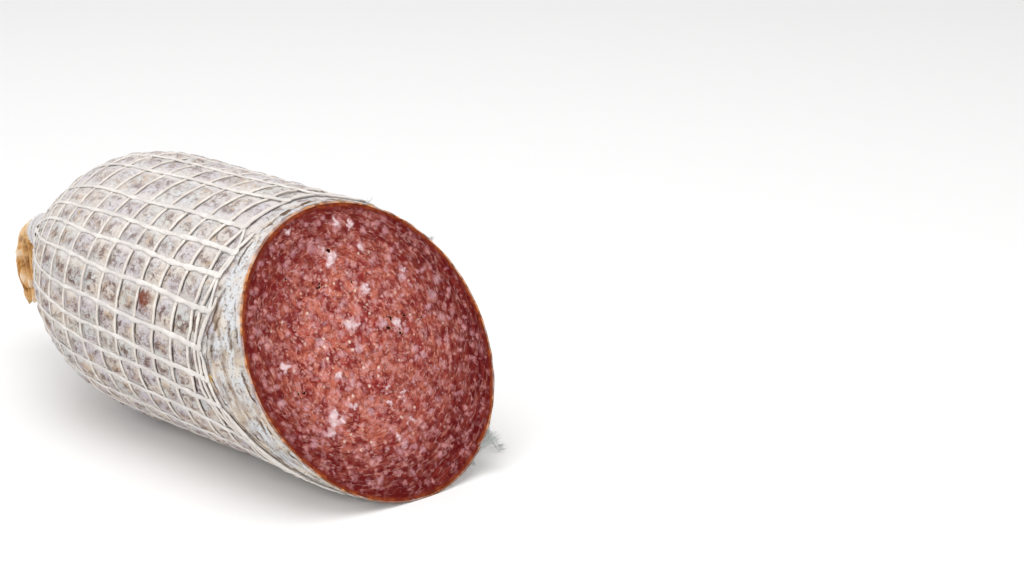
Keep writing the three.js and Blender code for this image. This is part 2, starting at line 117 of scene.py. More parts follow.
# The net's layout: the long strands are where the photograph shows them on the near side and evenly
# spread behind, and fan out towards the cut; the hoops lie a pitch apart along the skin.
SEEN_LINES = [-34, -20, -8, 1, 12, 26, 38, 48, 59, 77, 91]
NET_LINES = 28
HOOP_PITCH, FIRST_HOOP, HOOPS_TO_CUT = 9.6, -38.5, 6
COLLAR_START, LAST_HOOP_ROOM = -163.5, 4
WANDER, WANDER_CENTRE = 8, 105
HOOP_LEAN, LEAN_ANGLE, LEAN_SPREAD = 9.5, 105, 82
BARE_MARGIN, PUSHED_MARGIN, PUSHED_ANGLE, PUSHED_SPREAD = 4, 19, -14, 42
BUNCH_DEPTH, BUNCH_PINCH, PINCH_ANGLE, PINCH_SPREAD = 9.5, 2.2, 6, 20
hidden_lines = np.linspace(SEEN_LINES[-1], SEEN_LINES[0] + 360, NET_LINES - len(SEEN_LINES) + 2)[1:-1]
line_angles = np.concatenate([SEEN_LINES, hidden_lines])


def turn_between(angle, reference):
    """The angle from one direction to another round the axis, from -180 to 180 degrees."""
    return (angle - reference + 180) % 360 - 180


def evenness_at(x):
    """1 along the body, falling to 0 over the dome with the fourth power of the girth."""
    return np.minimum(1, radius_at(x) / RADIUS) ** 4


def fan_at(line_angle, x):
    """How far a long strand has turned at a station: a sine of its angle times the way travelled."""
    return WANDER * np.sin(np.radians(line_angle - 45)) * (x + WANDER_CENTRE) / RADIUS * evenness_at(x)


def lean_at(angle, x):
    """How far a hoop runs ahead at an angle, as a squared cosine round the top."""
    away = np.minimum(1, np.abs(turn_between(angle, LEAN_ANGLE)) / LEAN_SPREAD)
    return HOOP_LEAN * np.cos(math.pi / 2 * away) ** 2 * evenness_at(x)


def net_end_at(angle):
    """The station of the net's cut edge: a margin behind the knife's plane, and a bell curve more on
    the near side, where the net has slid back."""
    away = turn_between(angle, PUSHED_ANGLE) / PUSHED_SPREAD
    return cut_at(angle) - BARE_MARGIN - PUSHED_MARGIN * np.exp(-away * away)


def band_at(angle):
    """How wide the band of crowded hoops is: narrowest, by a bell curve, where the net slid furthest."""
    return BUNCH_DEPTH - BUNCH_PINCH * np.exp(-((turn_between(angle, PINCH_ANGLE) / PINCH_SPREAD) ** 2))


def crowd(x, angle, back=False):
    """The station that a hoop is pushed back to: the stretch before the cut is squashed into the
    band. With back, the inverse."""
    start = net_end_at(angle) - BUNCH_DEPTH
    share = band_at(angle) / (cut_at(angle) - start)
    return np.where(x < start, x, start + (x - start) * (1 / share if back else share))


def hoop_stations():
    """Stations from the tied end to the cut, equally spaced along the skin behind the first hoop and
    along the axis before it."""
    x = np.arange(FIRST_HOOP, COLLAR_START + LAST_HOOP_ROOM, -FINE_STEP)
    travelled = np.concatenate([[0], np.cumsum(np.hypot(FINE_STEP, np.diff(radius_at(x))))])
    behind = np.interp(np.arange(0, travelled[-1], HOOP_PITCH), travelled, x)
    ahead = FIRST_HOOP + HOOP_PITCH * np.arange(1, HOOPS_TO_CUT + 1)
    return np.concatenate([behind[::-1], ahead])


stations = hoop_stations()


def net_place(x, angle):
    """Where a point of the skin lies in the net: the number of the long strand and of the hoop that
    it is at, as fractions. The fan is undone by four steps of substitution."""
    line_angle = angle + 0.0 * x
    for _ in range(4):
        line_angle = angle - fan_at(line_angle, x)
    start = line_angles[0]
    turns = np.append(line_angles, start + 360) - start
    line = np.interp((line_angle - start) % 360, turns, np.arange(NET_LINES + 1))
    hoop = np.interp(crowd(x, angle, True) - lean_at(angle, x), stations, np.arange(len(stations)))
    return line, hoop


def ripples(points, wavelength, waves, seed):
    """A smooth random field, about -1 to 1: the mean of plane waves in random directions."""
    random = np.random.default_rng(seed)
    way = random.normal(size=(3, waves))
    way *= 2 * math.pi / wavelength / np.linalg.norm(way, axis=0) * random.uniform(0.7, 1.4, waves)
    phase = random.uniform(0, 2 * math.pi, waves)
    return np.cos(points @ way + phase).sum(-1) * math.sqrt(2 / waves) * 0.7


def roughened(points, layers):
    """The sum of fields of ripples, each given as wavelength, number of waves, height and seed."""
    return sum(high * ripples(points, wavelength, waves, seed) for wavelength, waves, high, seed in layers)


GROOVE_HALF, GROOVE_POWER = 3.4, 0.7
PILLOW, GIRTH_FROM, GIRTH_OVER, HELD_OVER = 1.0, 8, 25, 26
SLACK_REACH, SLACK_EDGE = 95, 8
DENTS = [(7, 14, 0.14, 3), (3.1, 18, 0.08, 4)]
RIM_WAVES = [(6, 12, 0.12, 5), (2.4, 14, 0.072, 6)]
WRINKLE_DEPTH, WRINKLE_RATE, WRINKLE_SWAY = 0.35, 1.25, 2.6
BARE_BEFORE_NET, BARE_FADE, RIM_FADE, SMOOTH_RIM, FAR_FROM_CUT = 2, 3, 2.5, 3, 60
SKIN_UNDER_NET = 0.25
CASING_SIDES, DOME_ROWS, CUT_ROWS = 340, 195, 46
INNER_DOME_ROWS, INNER_CUT_ROWS = 20, 6


def body_stations(rows, first=NECK_END):
    """Stations from the neck to where the rings begin to slant, equally far apart along the skin."""
    x = np.linspace(first, STRAIGHT_FROM, FINE_ROWS)
    travelled = np.concatenate([[0], np.cumsum(np.hypot(np.diff(x), np.diff(radius_at(x))))])
    return np.interp(np.linspace(0, travelled[-1], rows), travelled, x)


def slanted_stations(angle, rows, inset=0):
    """Rings from there to the cut, each nearer to the knife's plane."""
    share = np.linspace(0, 1, rows + 1)[1:, None]
    return STRAIGHT_FROM + (cut_at(angle, inset) - STRAIGHT_FROM) * share


def casing_stations(angle, body_rows, cut_rows, inset=0):
    """The stations of all rings, one row for each ring and one column for each angle."""
    straight = np.broadcast_to(body_stations(body_rows)[:, None], (body_rows, len(angle)))
    return np.concatenate([straight, slanted_stations(angle, cut_rows, inset)])


def skin_relief(x, angle):
    """The skin's lift: a pillow in each mesh, the product of two smooth humps of the distance to the
    nearest strands, fading out in the bare margin, with dents, and wrinkles parallel to the cut. With
    it come the values that the material needs."""
    line, hoop = net_place(x, angle)
    radius = radius_at(x)
    pitch_round = np.radians(360 / NET_LINES) * radius
    pitch_along = np.interp(hoop, np.arange(len(stations)), np.gradient(stations))
    across = np.abs(line - np.round(line)) * pitch_round
    along = np.abs(hoop - np.round(hoop)) * pitch_along
    pillow = (smoothstep(across / GROOVE_HALF) * smoothstep(along / GROOVE_HALF)) ** GROOVE_POWER
    girth = smoothstep((radius - GIRTH_FROM) / GIRTH_OVER)
    before_end = net_end_at(angle) - x
    held = smoothstep((before_end + 1) / HELD_OVER)
    smooth = skin_point(x, angle, 0)
    from_cut = cut_at(angle) - x
    bare = smoothstep((BARE_BEFORE_NET - before_end) / BARE_FADE) * smoothstep(from_cut / RIM_FADE)
    wave = from_cut * WRINKLE_RATE + WRINKLE_SWAY * ripples(smooth, 14, 10, 8)
    wrinkle = bare * np.maximum(0, np.sin(wave)) ** 3 * smoothstep(0.5 + ripples(smooth, 12, 10, 9))
    swell = SKIN_UNDER_NET + girth * held * PILLOW * pillow - WRINKLE_DEPTH * wrinkle
    body = smoothstep(from_cut / SMOOTH_RIM)
    lift = body * (swell + roughened(smooth, DENTS)) + (1 - body) * roughened(smooth, RIM_WAVES)
    turn = 2 * math.pi * line
    slack = smoothstep(1 - before_end / SLACK_REACH) * smoothstep((before_end + SLACK_EDGE) / SLACK_EDGE)
    past_band = BUNCH_DEPTH - band_at(angle) - before_end
    return {
        "lift": lift,
        "net": np.stack([np.cos(turn), np.sin(turn), hoop], -1),
        "pitches": np.stack([pitch_round, pitch_along, slack], -1),
        "margin": np.stack([bare, np.minimum(from_cut, FAR_FROM_CUT), past_band], -1),
    }


def wrapped_faces(rows, columns):
    """Quads between neighbouring rows of a grid that closes on itself along its columns, facing out
    where the rows run towards the cut and the columns turn from the near side over the top."""
    number = np.arange(rows * columns).reshape(rows, columns)
    after = np.roll(number, -1, axis=1)
    return np.stack([number[:-1], number[1:], after[1:], after[:-1]], -1).reshape(-1, 4)


def pole_faces(first, columns, pole, start):
    """Triangles from a ring of points to a pole, at the start or at the end of the rows."""
    ring = first + np.arange(columns)
    after = np.roll(ring, -1)
    middle = np.full(columns, pole)
    return np.stack([middle, ring, after] if start else [middle, after, ring], -1)


def make_piece(name, points, faces, values, replaced, slot, material):
    """An object from points in millimetres from the cut's middle and arrays of faces, with a vector
    at each point for each named attribute. It rides on the part's only body."""
    mesh = bpy.data.meshes.new(name)
    mesh.vertices.add(len(points))
    mesh.vertices.foreach_set("co", ((points + CUT_CENTRE) * MM).astype(np.float32).ravel())
    corners = np.concatenate([face.ravel() for face in faces]).astype(np.int32)
    sizes = np.concatenate([np.full(len(face), face.shape[1]) for face in faces])
    mesh.loops.add(len(corners))
    mesh.loops.foreach_set("vertex_index", corners)
    mesh.polygons.add(len(sizes))
    mesh.polygons.foreach_set("loop_start", (np.cumsum(sizes) - sizes).astype(np.int32))
    mesh.update(calc_edges=True)
    mesh.validate()
    mesh.polygons.foreach_set("use_smooth", np.ones(len(mesh.polygons), bool))
    for label, vectors in values.items():
        attribute = mesh.attributes.new(label, "FLOAT_VECTOR", "POINT")
        attribute.data.foreach_set("vector", vectors.astype(np.float32).ravel())
    mesh.materials.append(material)
    piece = bpy.data.objects.new(name, mesh)
    bpy.context.scene.collection.objects.link(piece)
    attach(piece, "root")
    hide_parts(replaced)


def casing_mesh():
    """Rings of the lifted skin from the neck to the cut, a rounded rim, and a plain inner wall that
    runs back to the neck."""
    angle = np.linspace(0, 360, CASING_SIDES, endpoint=False)
    x = casing_stations(angle, DOME_ROWS, CUT_ROWS)
    relief = skin_relief(x, angle)
    outer = skin_point(x, angle, relief.pop("lift"))
    rim = skin_point(cut_at(angle, CASING_WALL), angle, -CASING_WALL)[None]
    inner_x = casing_stations(angle, INNER_DOME_ROWS, INNER_CUT_ROWS, CASING_WALL)[::-1][1:]
    inner = skin_point(inner_x, angle, -CASING_WALL)
    grid = np.concatenate([outer, rim, inner])
    rows = len(grid)
    poles = np.array([[NECK_END, 0, END_RISE], [NECK_END + CASING_WALL, 0, END_RISE]])
    points = np.concatenate([grid.reshape(-1, 3), poles])
    count = rows * CASING_SIDES
    faces = [
        wrapped_faces(rows, CASING_SIDES),
        pole_faces(0, CASING_SIDES, count, True),
        pole_faces(count - CASING_SIDES, CASING_SIDES, count + 1, False),
    ]
    values = {}
    for name, seen in relief.items():
        hidden = np.repeat(seen[-1:], rows - len(outer), axis=0).reshape(-1, *seen.shape[2:])
        seen = seen.reshape(-1, *seen.shape[2:])
        values[name] = np.concatenate([seen, hidden, seen[:1], hidden[-1:]])
    return points, faces, values


class Wire:
    """A value or colour that runs through a material's nodes; an operator on it adds a Math node."""

    def __init__(self, socket):
        self.socket = socket

    def node(self, kind, settings=None, inputs=None, output=0):
        """Any node of the same material, by its type, its settings, and its sockets' values or wires."""
        tree = self.socket.id_data
        made = tree.nodes.new(kind)
        for name, value in (settings or {}).items():
            setattr(made, name, value)
        for name, value in (inputs or {}).items():
            if isinstance(value, Wire):
                tree.links.new(value.socket, made.inputs[name])
            else:
                made.inputs[name].default_value = value
        return Wire(made.outputs[output])

    def math(self, operation, first, second=0.0):
        """A Math node on two numbers, wires or plain."""
        return self.node("ShaderNodeMath", {"operation": operation}, {0: first, 1: second})

    def __add__(self, other):
        return self.math("ADD", self, other)

    def __radd__(self, other):
        return self.math("ADD", other, self)

    def __sub__(self, other):
        return self.math("SUBTRACT", self, other)

    def __rsub__(self, other):
        return self.math("SUBTRACT", other, self)

    def __mul__(self, other):
        return self.math("MULTIPLY", self, other)

    def __rmul__(self, other):
        return self.math("MULTIPLY", other, self)

    def between(self, low, high):
        """0 below low, 1 above high, and smooth in between."""
        span = {"From Min": low, "From Max": high}
        return self.node("ShaderNodeMapRange", {"interpolation_type": "SMOOTHSTEP"}, {"Value": self, **span})

    def also(self, output):
        """Another output of the node that this wire leaves."""
        return Wire(self.socket.node.outputs[output])

    def part(self, axis):
        """One component of this vector or colour."""
        return self.node("ShaderNodeSeparateXYZ", {}, {0: self}, axis)

    def size(self):
        """This number without its sign."""
        return self.math("ABSOLUTE", self)

    def line(self, middle, half_width):
        """1 where this value is at middle, falling smoothly to 0 at half_width to either side."""
        return 1 - (self - middle).size().between(0.0, half_width)

    def noise(self, wavelength, detail=2.0, roughness=0.5, output=0):
        """Noise on this vector of millimetres, from 0 to 1, or as a colour with output 1."""
        sizes = {"Scale": 1 / wavelength, "Detail": detail, "Roughness": roughness}
        return self.node("ShaderNodeTexNoise", {}, {"Vector": self, **sizes}, output)

    def mix(self, under, over):
        """The colour under, covered by the colour over as far as this value says. Either may be a wire
        or three numbers from 0 to 255."""
        under, over = (side if isinstance(side, Wire) else paint(*side) for side in (under, over))
        return self.node("ShaderNodeMix", {"data_type": "RGBA"}, {0: self, 6: under, 7: over}, 2)

    def under(self, *layers):
        """This colour beneath layers, each given as how far it covers and its colour."""
        colour = self
        for cover, tint in layers:
            colour = cover.mix(colour, tint)
        return colour

    def attribute(self, name):
        """The vectors that the mesh holds under a name."""
        return self.node("ShaderNodeAttribute", {"attribute_name": name}, {}, 1)

    def shifted(self, x, y, z):
        """This vector from another start, so that a noise on it is another one."""
        return self.vector("ADD", (float(x), float(y), float(z)))

    def stirred(self, reach, wavelength, roughness=0.5):
        """This vector moved to and fro by a noise, up to half the reach each way."""
        stir = self.noise(wavelength, 2, roughness, 1).vector("SUBTRACT", (0.5, 0.5, 0.5))
        return self.vector("ADD", stir.vector("SCALE", scale=reach))

    def vector(self, operation, other=None, scale=None):
        """A Vector Math node on this vector and another, or a number to scale it by."""
        inputs = {0: self}
        if other is not None:
            inputs[1] = other
        if scale is not None:
            inputs["Scale"] = scale
        return self.node("ShaderNodeVectorMath", {"operation": operation}, inputs)


def paint(red, green, blue):
    """A colour as a picture shows it, 0 to 255, as the linear numbers that shaders use."""
    share = np.array([red, green, blue]) / 255
    linear = np.where(share <= 0.04045, share / 12.92, ((share + 0.055) / 1.055) ** 2.4)
    return (*linear.tolist(), 1.0)


def new_material(name, roughness, specular=0.5):
    """A Principled material with its shader, and its Object coordinates in millimetres."""
    material = bpy.data.materials.new(name)
    material.use_nodes = True
    shader = material.node_tree.nodes["Principled BSDF"]
    shader.inputs["Roughness"].default_value = roughness
    shader.inputs["Specular IOR Level"].default_value = specular
    place = Wire(material.node_tree.nodes.new("ShaderNodeTexCoord").outputs["Object"])
    return material, shader, place.vector("SCALE", scale=1000.0)


def dress(material, shader, colour, height=None, depth=0.1, roughness=None):
    """Links the colour, and a height in millimetres times depth as a bump."""
    tree = material.node_tree
    tree.links.new(colour.socket, shader.inputs["Base Color"])
    if height is not None:
        bump = height.node("ShaderNodeBump", {}, {"Height": height, "Distance": depth * MM, "Strength": 1.0})
        tree.links.new(bump.socket, shader.inputs["Normal"])
    if roughness is not None:
        tree.links.new(roughness.socket, shader.inputs["Roughness"])


# Each stain on the mould: its station, its angle, its reach and its colour
STAINS = [(-63.5, 18.5, 2.9, (116, 58, 38)), (-28.7, -5.4, 1.3, (222, 182, 104))]
# Each wrinkle of the bare margin: how far from the cut it lies, and half its width
WRINKLES = [(2.4, 0.8), (6.4, 1.4), (12.4, 1.9), (17.4, 1.9)]
RIM_WIDTH = 0.5
TIED_END_FROM, TIED_END_TO = -168.0, -95.0
LOW_FROM, LOW_TO, TOP_FROM, TOP_TO = 10.0, 45.0, 55.0, 92.0


def mould_bloom():
    """White mould over a brown gut, in cool and warm patches with brown blotches, short dark creases
    and specks, whitened towards the top as painted light; grooves beside the hoops where the net has
    gone slack, darkened by painted shadow of the lifted hoops; in the bare margin chalk, dust and brown
    wrinkles, with painted shadow beside the band of crowded hoops; and tan, scorched in places, at the
    cut edge."""
    material, shader, place = new_material("mould_bloom", 0.85, 0.25)
    net, pitches, margin = place.attribute("net"), place.attribute("pitches"), place.attribute("margin")
    phase = place.math("ARCTAN2", net.part(1), net.part(0)) * (1 / (2 * math.pi))
    across = (phase * pitches.part(0)).size()
    hoop = net.part(2)
    along = (hoop - place.math("ROUND", hoop)) * pitches.part(1)
    slack = pitches.part(2)
    bare, from_cut = margin.part(0), margin.part(1)
    inside = across.between(0.6, 3.2) * along.size().between(0.5, 2.6)
    inside = inside + (1 - inside) * 0.35

    warped = place.stirred(2.0, 3.4)
    patches = place.noise(9, 2)
    cells = place.noise(13, 1)
    blotches = warped.noise(3.2, 4, 0.6)
    cores = warped.shifted(13, 5, 29).noise(2.4, 3, 0.55)
    scribbles = warped.shifted(31, 15, 2).noise(1.3, 3, 0.6)
    creases = warped.shifted(3, 25, 9).noise(4.4, 1, 0.4).line(0.5, 0.022)
    broken = place.noise(4.0, 1).between(0.58, 0.64)
    grain = place.noise(0.45, 2, 0.6)
    station = place.part(0) - float(CUT_CENTRE[0])
    mottled = station.between(TIED_END_FROM, TIED_END_TO) * 0.45 + 0.55
    # Painted light: towards the top the skin is whitened and its blotches fainter.
    top = place.part(2).between(TOP_FROM, TOP_TO)
    low = 1 - place.part(2).between(LOW_FROM, LOW_TO)
    shown = inside * mottled * (1 - bare * 0.5) * (1 - top * 0.45) * (1 - low * 0.2)
    uneven = place.noise(6.0, 2).between(0.34, 0.46)
    # Painted shadow: a dark brown line on the cut side of each slack hoop, where the lifted hoop would cast
    # its shadow. The same mask sinks a groove in the bump.
    beside = along.between(0.3, 0.42) * (1 - along.between(1.15, 1.55))
    groove_and_shadow = beside * across.between(0.8, 1.3) * uneven * slack.between(0.0, 0.6) * (1 - bare)
    cream = along.line(-0.9, 0.8) * uneven * slack * (1 - bare)
    colour = patches.between(0.38, 0.62).mix((186, 180, 187), (203, 191, 178)).under(
        (cells.between(0.45, 0.65) * 0.6, (188, 194, 188)),
        # painted light on the top
        (top * 0.5, (212, 209, 211)),
        (blotches.between(0.42, 0.62) * 0.8 * shown, (146, 125, 116)),
        (scribbles.between(0.5, 0.62) * 0.75 * shown, (134, 115, 108)),
        ((blotches + cores).between(1.01, 1.2) * 0.85 * shown, (92, 64, 56)),
        ((blotches - cores + patches * 0.4).between(0.32, 0.46) * 0.45, (208, 178, 142)),
        (creases * broken * 0.7 * shown, (88, 68, 60)),
        ((1 - across.between(0.7, 2.8)) * (1 - bare) * 0.65, (221, 216, 213)),
        (grain.between(0.5, 0.7) * 0.35, (236, 233, 231)),
        (grain.between(0.5, 0.3) * 0.25, (140, 124, 116)),
        # painted shadow of the slack hoops
        (groove_and_shadow * (0.9 - top * 0.35), (44, 30, 16)),
        (cream * 0.35, (232, 216, 190)),
    )
    uneven_edge = (cores - 0.5) * 8.0 + (scribbles - 0.5) * 6.0
    for x, angle, reach, stain in STAINS:
        middle = skin_point(np.array(x), angle, 0) + CUT_CENTRE
        away = warped.vector("DISTANCE", tuple(middle)).also(1)
        covered = (1 - (away + uneven_edge).between(reach - 1.2, reach + 1.6)) * (0.45 + scribbles)
        colour = covered.mix(colour, stain)

    wave = from_cut + (place.noise(15, 1) - 0.5) * 7.0 + (place.noise(3.6, 2) - 0.5) * 3.4
    wrinkles = sum(wave.line(distance, width) for distance, width in WRINKLES)
    gaps = place.shifted(9, 2, 4).noise(8.0, 2).between(0.44, 0.62)
    wrinkles = wrinkles * gaps * (bare + (1 - from_cut.between(4.0, 9.0)) * 0.6)
    drawn = warped.vector("SCALE", scale=0.4).vector("ADD", from_cut * 0.6)
    chalk = bare * drawn.noise(4.2, 1, 0.4).between(0.32, 0.58)
    dusty = bare * drawn.shifted(4, 6, 8).noise(3.4, 1.5, 0.5).between(0.5, 0.66)
    sallow = bare * place.shifted(14, 3, 8).noise(6.5, 2).between(0.48, 0.62)
    # Painted shadow of the band of crowded hoops, and a crease: dark brown lines on the bare casing just
    # past the band.
    past = margin.part(2) + (place.noise(4.0, 2) - 0.5) * 2.0
    band_shadow_and_crease = past.line(0.9, 0.7) + past.line(3.4, 1.0) * gaps * 0.8
    tan = (1 - from_cut.between(0.5, 4.0)) * place.noise(5.0, 2).between(0.52, 0.64)
    ragged = from_cut + (place.noise(2.4, 2) - 0.5) * 0.9
    rim = 1 - ragged.between(RIM_WIDTH * 0.3, RIM_WIDTH * 1.8)
    low_down = 1 - place.part(2).between(8.0, 62.0)
    scorched = (place.noise(2.6, 2) + low_down * 0.14).between(0.4, 0.6)
    colour = colour.under(
        (chalk * 0.7, (214, 218, 223)),
        (dusty * 0.65, (164, 141, 120)),
        (sallow * 0.4, (222, 200, 172)),
        (wrinkles * (scribbles + 0.3), (112, 90, 72)),
        (bare * scribbles.between(0.54, 0.62) * 0.6, (124, 102, 86)),
        # painted shadow beside the band, and a crease
        (band_shadow_and_crease * place.noise(6.0, 1).between(0.38, 0.5), (84, 62, 44)),
        (tan * 0.4, (214, 184, 150)),
        (rim * (0.55 + patches.between(0.35, 0.6) * 0.4), scorched.mix((206, 136, 78), (128, 64, 26))),
    )
    sunken = blotches * 0.6 + scribbles * 0.4 + groove_and_shadow * 0.8 + creases * broken * 0.5 + wrinkles * 0.9
    dress(material, shader, colour, grain * 0.35 - sunken, 0.5)
    return material


make_piece("casing", *casing_mesh(), "salami", "casing", mould_bloom())

# The meat is a mosaic of coarse-minced lean and fat, dried hard. Cut across, it shows pinkish-grey
# grains in orange-red lean, drawn out round the middle by the filling, a dark margin under the casing
# where it dried most, and small pits beside the larger pieces of fat.
MEAT_GAP = 0.06
FACE_STEPS, MEAT_SIDE_ROWS, MEAT_CUT_ROWS = 258, 24, 4
MEAT_BACK = NECK_START + 3
FACE_NORMAL = np.array([1, -CUT_TURN, -CUT_LEAN]) / math.hypot(1, CUT_TURN, CUT_LEAN)
FACE_ACROSS = np.array([CUT_TURN, 1, 0]) / math.hypot(CUT_TURN, 1)
FACE_UP = np.cross(FACE_NORMAL, FACE_ACROSS)
# Where the larger pieces of fat and the pits lie, across and up the face, and how big they are
FAT_PIECES = [
    (-5, 33.5, 3.0), (13.5, 6.2, 2.5), (4.5, 20.5, 2.0), (-5.5, 9.5, 2.6), (-22, -20, 3.1),
    (21.4, 22.9, 1.1), (8, 34, 1.3), (-12.8, -17, 1.3), (2.2, -14.5, 1.1), (0.7, -18.7, 1.1),
    (7.9, -26.8, 1.2), (0.7, -30.3, 1.3), (7.2, -16.8, 1.0), (-18, 45, 1.3), (0.5, 44, 1.4),
    (6.4, 43, 1.4), (-34, 2, 1.5), (-14.6, -5.8, 1.5),
]
PITS = [
    (-4.3, 35.8, 0.95), (-11.4, 25.8, 0.8), (-12, 24.2, 0.6), (11.3, 8.6, 0.85), (17.1, 8.5, 0.7),
    (9.6, 5.0, 0.75), (13.6, 2.6, 0.6), (-31.4, -7.5, 0.6), (-29.8, -8, 0.5), (-12, -25.2, 0.5),
    (1, 24, 0.45), (19, 21, 0.45), (24, 6, 0.5), (-1.5, -15, 0.4), (5.6, -13.8, 0.4),
    (-19, 17, 0.4), (28, 31, 0.4), (-24, 30, 0.4),
]
SPOT_CORE, SATELLITE_SIZES, SATELLITE_SPREAD = 0.7, (0.25, 0.6), 0.6
SPOT_BEND, SPOT_BEND_LENGTH = 0.5, 3.0
FACE_RELIEF = [(9, 16, 0.1, 31), (2.6, 24, 0.08, 32), (1.5, 24, 0.05, 33)]
FAT_RISE, PIT_DEPTH, RELIEF_FADE, RIM_DROP, RIM_DROP_REACH = 0.2, 1.3, 1.5, 0.12, 4
SWIRL_CENTRE, SWIRL_RADIUS, SWIRL_SQUEEZE = (-8, 6), 20, 1.4
STREAKY_FROM, STREAKY_OVER = 10, 24


def spots(across, up, places, satellites, seed):
    """The largest of the bell curves exp(-(distance/size)^2) round the listed places and round a few
    smaller satellites of each, which make it ragged."""
    random = np.random.default_rng(seed)
    field = np.zeros_like(across)
    for place_across, place_up, size in places:
        for satellite in range(satellites + 1):
            reach = size * (random.uniform(*SATELLITE_SIZES) if satellite else SPOT_CORE)
            off = size * random.normal(0, SATELLITE_SPREAD, 2) if satellite else (0, 0)
            away = (across - place_across - off[0]) ** 2 + (up - place_up - off[1]) ** 2
            field = np.maximum(field, np.exp(-away / reach**2))
    return field


def face_points(inset):
    """A square grid bent into a disc by x = a sqrt(1 - b^2/2), y = b sqrt(1 - a^2/2), stretched to the
    casing and laid in the knife's plane. With it come each point's share of the way to the rim, its
    angle and the distance to the rim there."""
    share = np.linspace(-1, 1, FACE_STEPS + 1)
    a, b = np.meshgrid(share, share, indexing="ij")
    across = a * np.sqrt(1 - b * b / 2)
    up = b * np.sqrt(1 - a * a / 2)
    far = np.hypot(across, up)
    angle = np.degrees(np.arctan2(up, -across))
    rim = skin_point(cut_at(angle, inset), angle, -inset)
    reach = np.hypot(rim[..., 1], rim[..., 2])
    y, z = across * reach, up * reach
    return np.stack([CUT_TURN * y + CUT_LEAN * z, y, z], -1), far, angle, reach


def meat_mesh():
    """The cut face with its relief, and plain sides that run back inside the casing almost to the neck.
    The material gets the place on the face, the way to the rim, the fat, the pits, and the swirl: the
    turn round its middle as a point on a circle, and the distance from it."""
    inset = CASING_WALL + MEAT_GAP
    flat, far, angle, reach = face_points(inset)
    across, up = flat @ FACE_ACROSS, flat @ FACE_UP
    bent_across = across + SPOT_BEND * ripples(flat, SPOT_BEND_LENGTH, 16, 34)
    bent_up = up + SPOT_BEND * ripples(flat, SPOT_BEND_LENGTH, 16, 35)
    fat = spots(bent_across, bent_up, FAT_PIECES, 6, 36)
    pits = spots(bent_across, bent_up, PITS, 1, 37)
    relief = roughened(flat, FACE_RELIEF) + FAT_RISE * fat - PIT_DEPTH * pits
    to_rim = (1 - far) * reach
    drop = RIM_DROP * (1 - smoothstep(to_rim / RIM_DROP_REACH))
    height = relief * smoothstep(to_rim / RELIEF_FADE) - drop
    face = flat + FACE_NORMAL * height[..., None]
    side = FACE_STEPS + 1
    number = np.arange(side * side).reshape(side, side)
    quads = np.stack([number[:-1, :-1], number[1:, :-1], number[1:, 1:], number[:-1, 1:]], -1)
    ring = np.concatenate([number[0, :-1], number[:-1, -1], number[-1, :0:-1], number[:0:-1, 0]])
    ring_angle = angle.ravel()[ring]
    straight = body_stations(MEAT_SIDE_ROWS, MEAT_BACK)[::-1, None] + np.zeros(len(ring))
    slanted = slanted_stations(ring_angle, MEAT_CUT_ROWS, inset)[::-1][1:]
    walls = skin_point(np.concatenate([slanted, straight]), ring_angle, -inset)
    count = side * side
    wall_number = count + np.arange(walls.shape[0] * len(ring)).reshape(walls.shape[0], -1)
    rows = np.concatenate([ring[None], wall_number])
    after = np.roll(rows, -1, axis=1)
    wall_quads = np.stack([rows[:-1], after[:-1], after[1:], rows[1:]], -1).reshape(-1, 4)
    points = np.concatenate([face.reshape(-1, 3), walls.reshape(-1, 3), [[MEAT_BACK, 0, END_RISE]]])
    last = wall_number[-1]
    pole = np.stack([last, np.roll(last, -1), np.full(len(last), len(points) - 1)], -1)
    hidden = len(points) - count
    swirl_across, swirl_up = across - SWIRL_CENTRE[0], up - SWIRL_CENTRE[1]
    away = np.hypot(swirl_across, swirl_up)
    turn = np.arctan2(swirl_up, swirl_across)
    swirl = [SWIRL_RADIUS * np.cos(turn), SWIRL_RADIUS * np.sin(turn), SWIRL_SQUEEZE * away]
    streaky = smoothstep((away - STREAKY_FROM) / STREAKY_OVER)
    streaky *= 0.75 + 0.25 * smoothstep((swirl_across - swirl_up) / 30)

    def spread(*fields):
        """One vector for each point: the fields on the face, and nothing on the hidden sides."""
        return np.concatenate([np.stack(fields, -1).reshape(-1, 3), np.zeros((hidden, 3))])

    values = {
        "place": spread(across, up, to_rim),
        "marks": spread(fat, pits, streaky),
        "swirl": spread(*swirl),
    }
    return points, [quads.reshape(-1, 4), wall_quads, pole], values


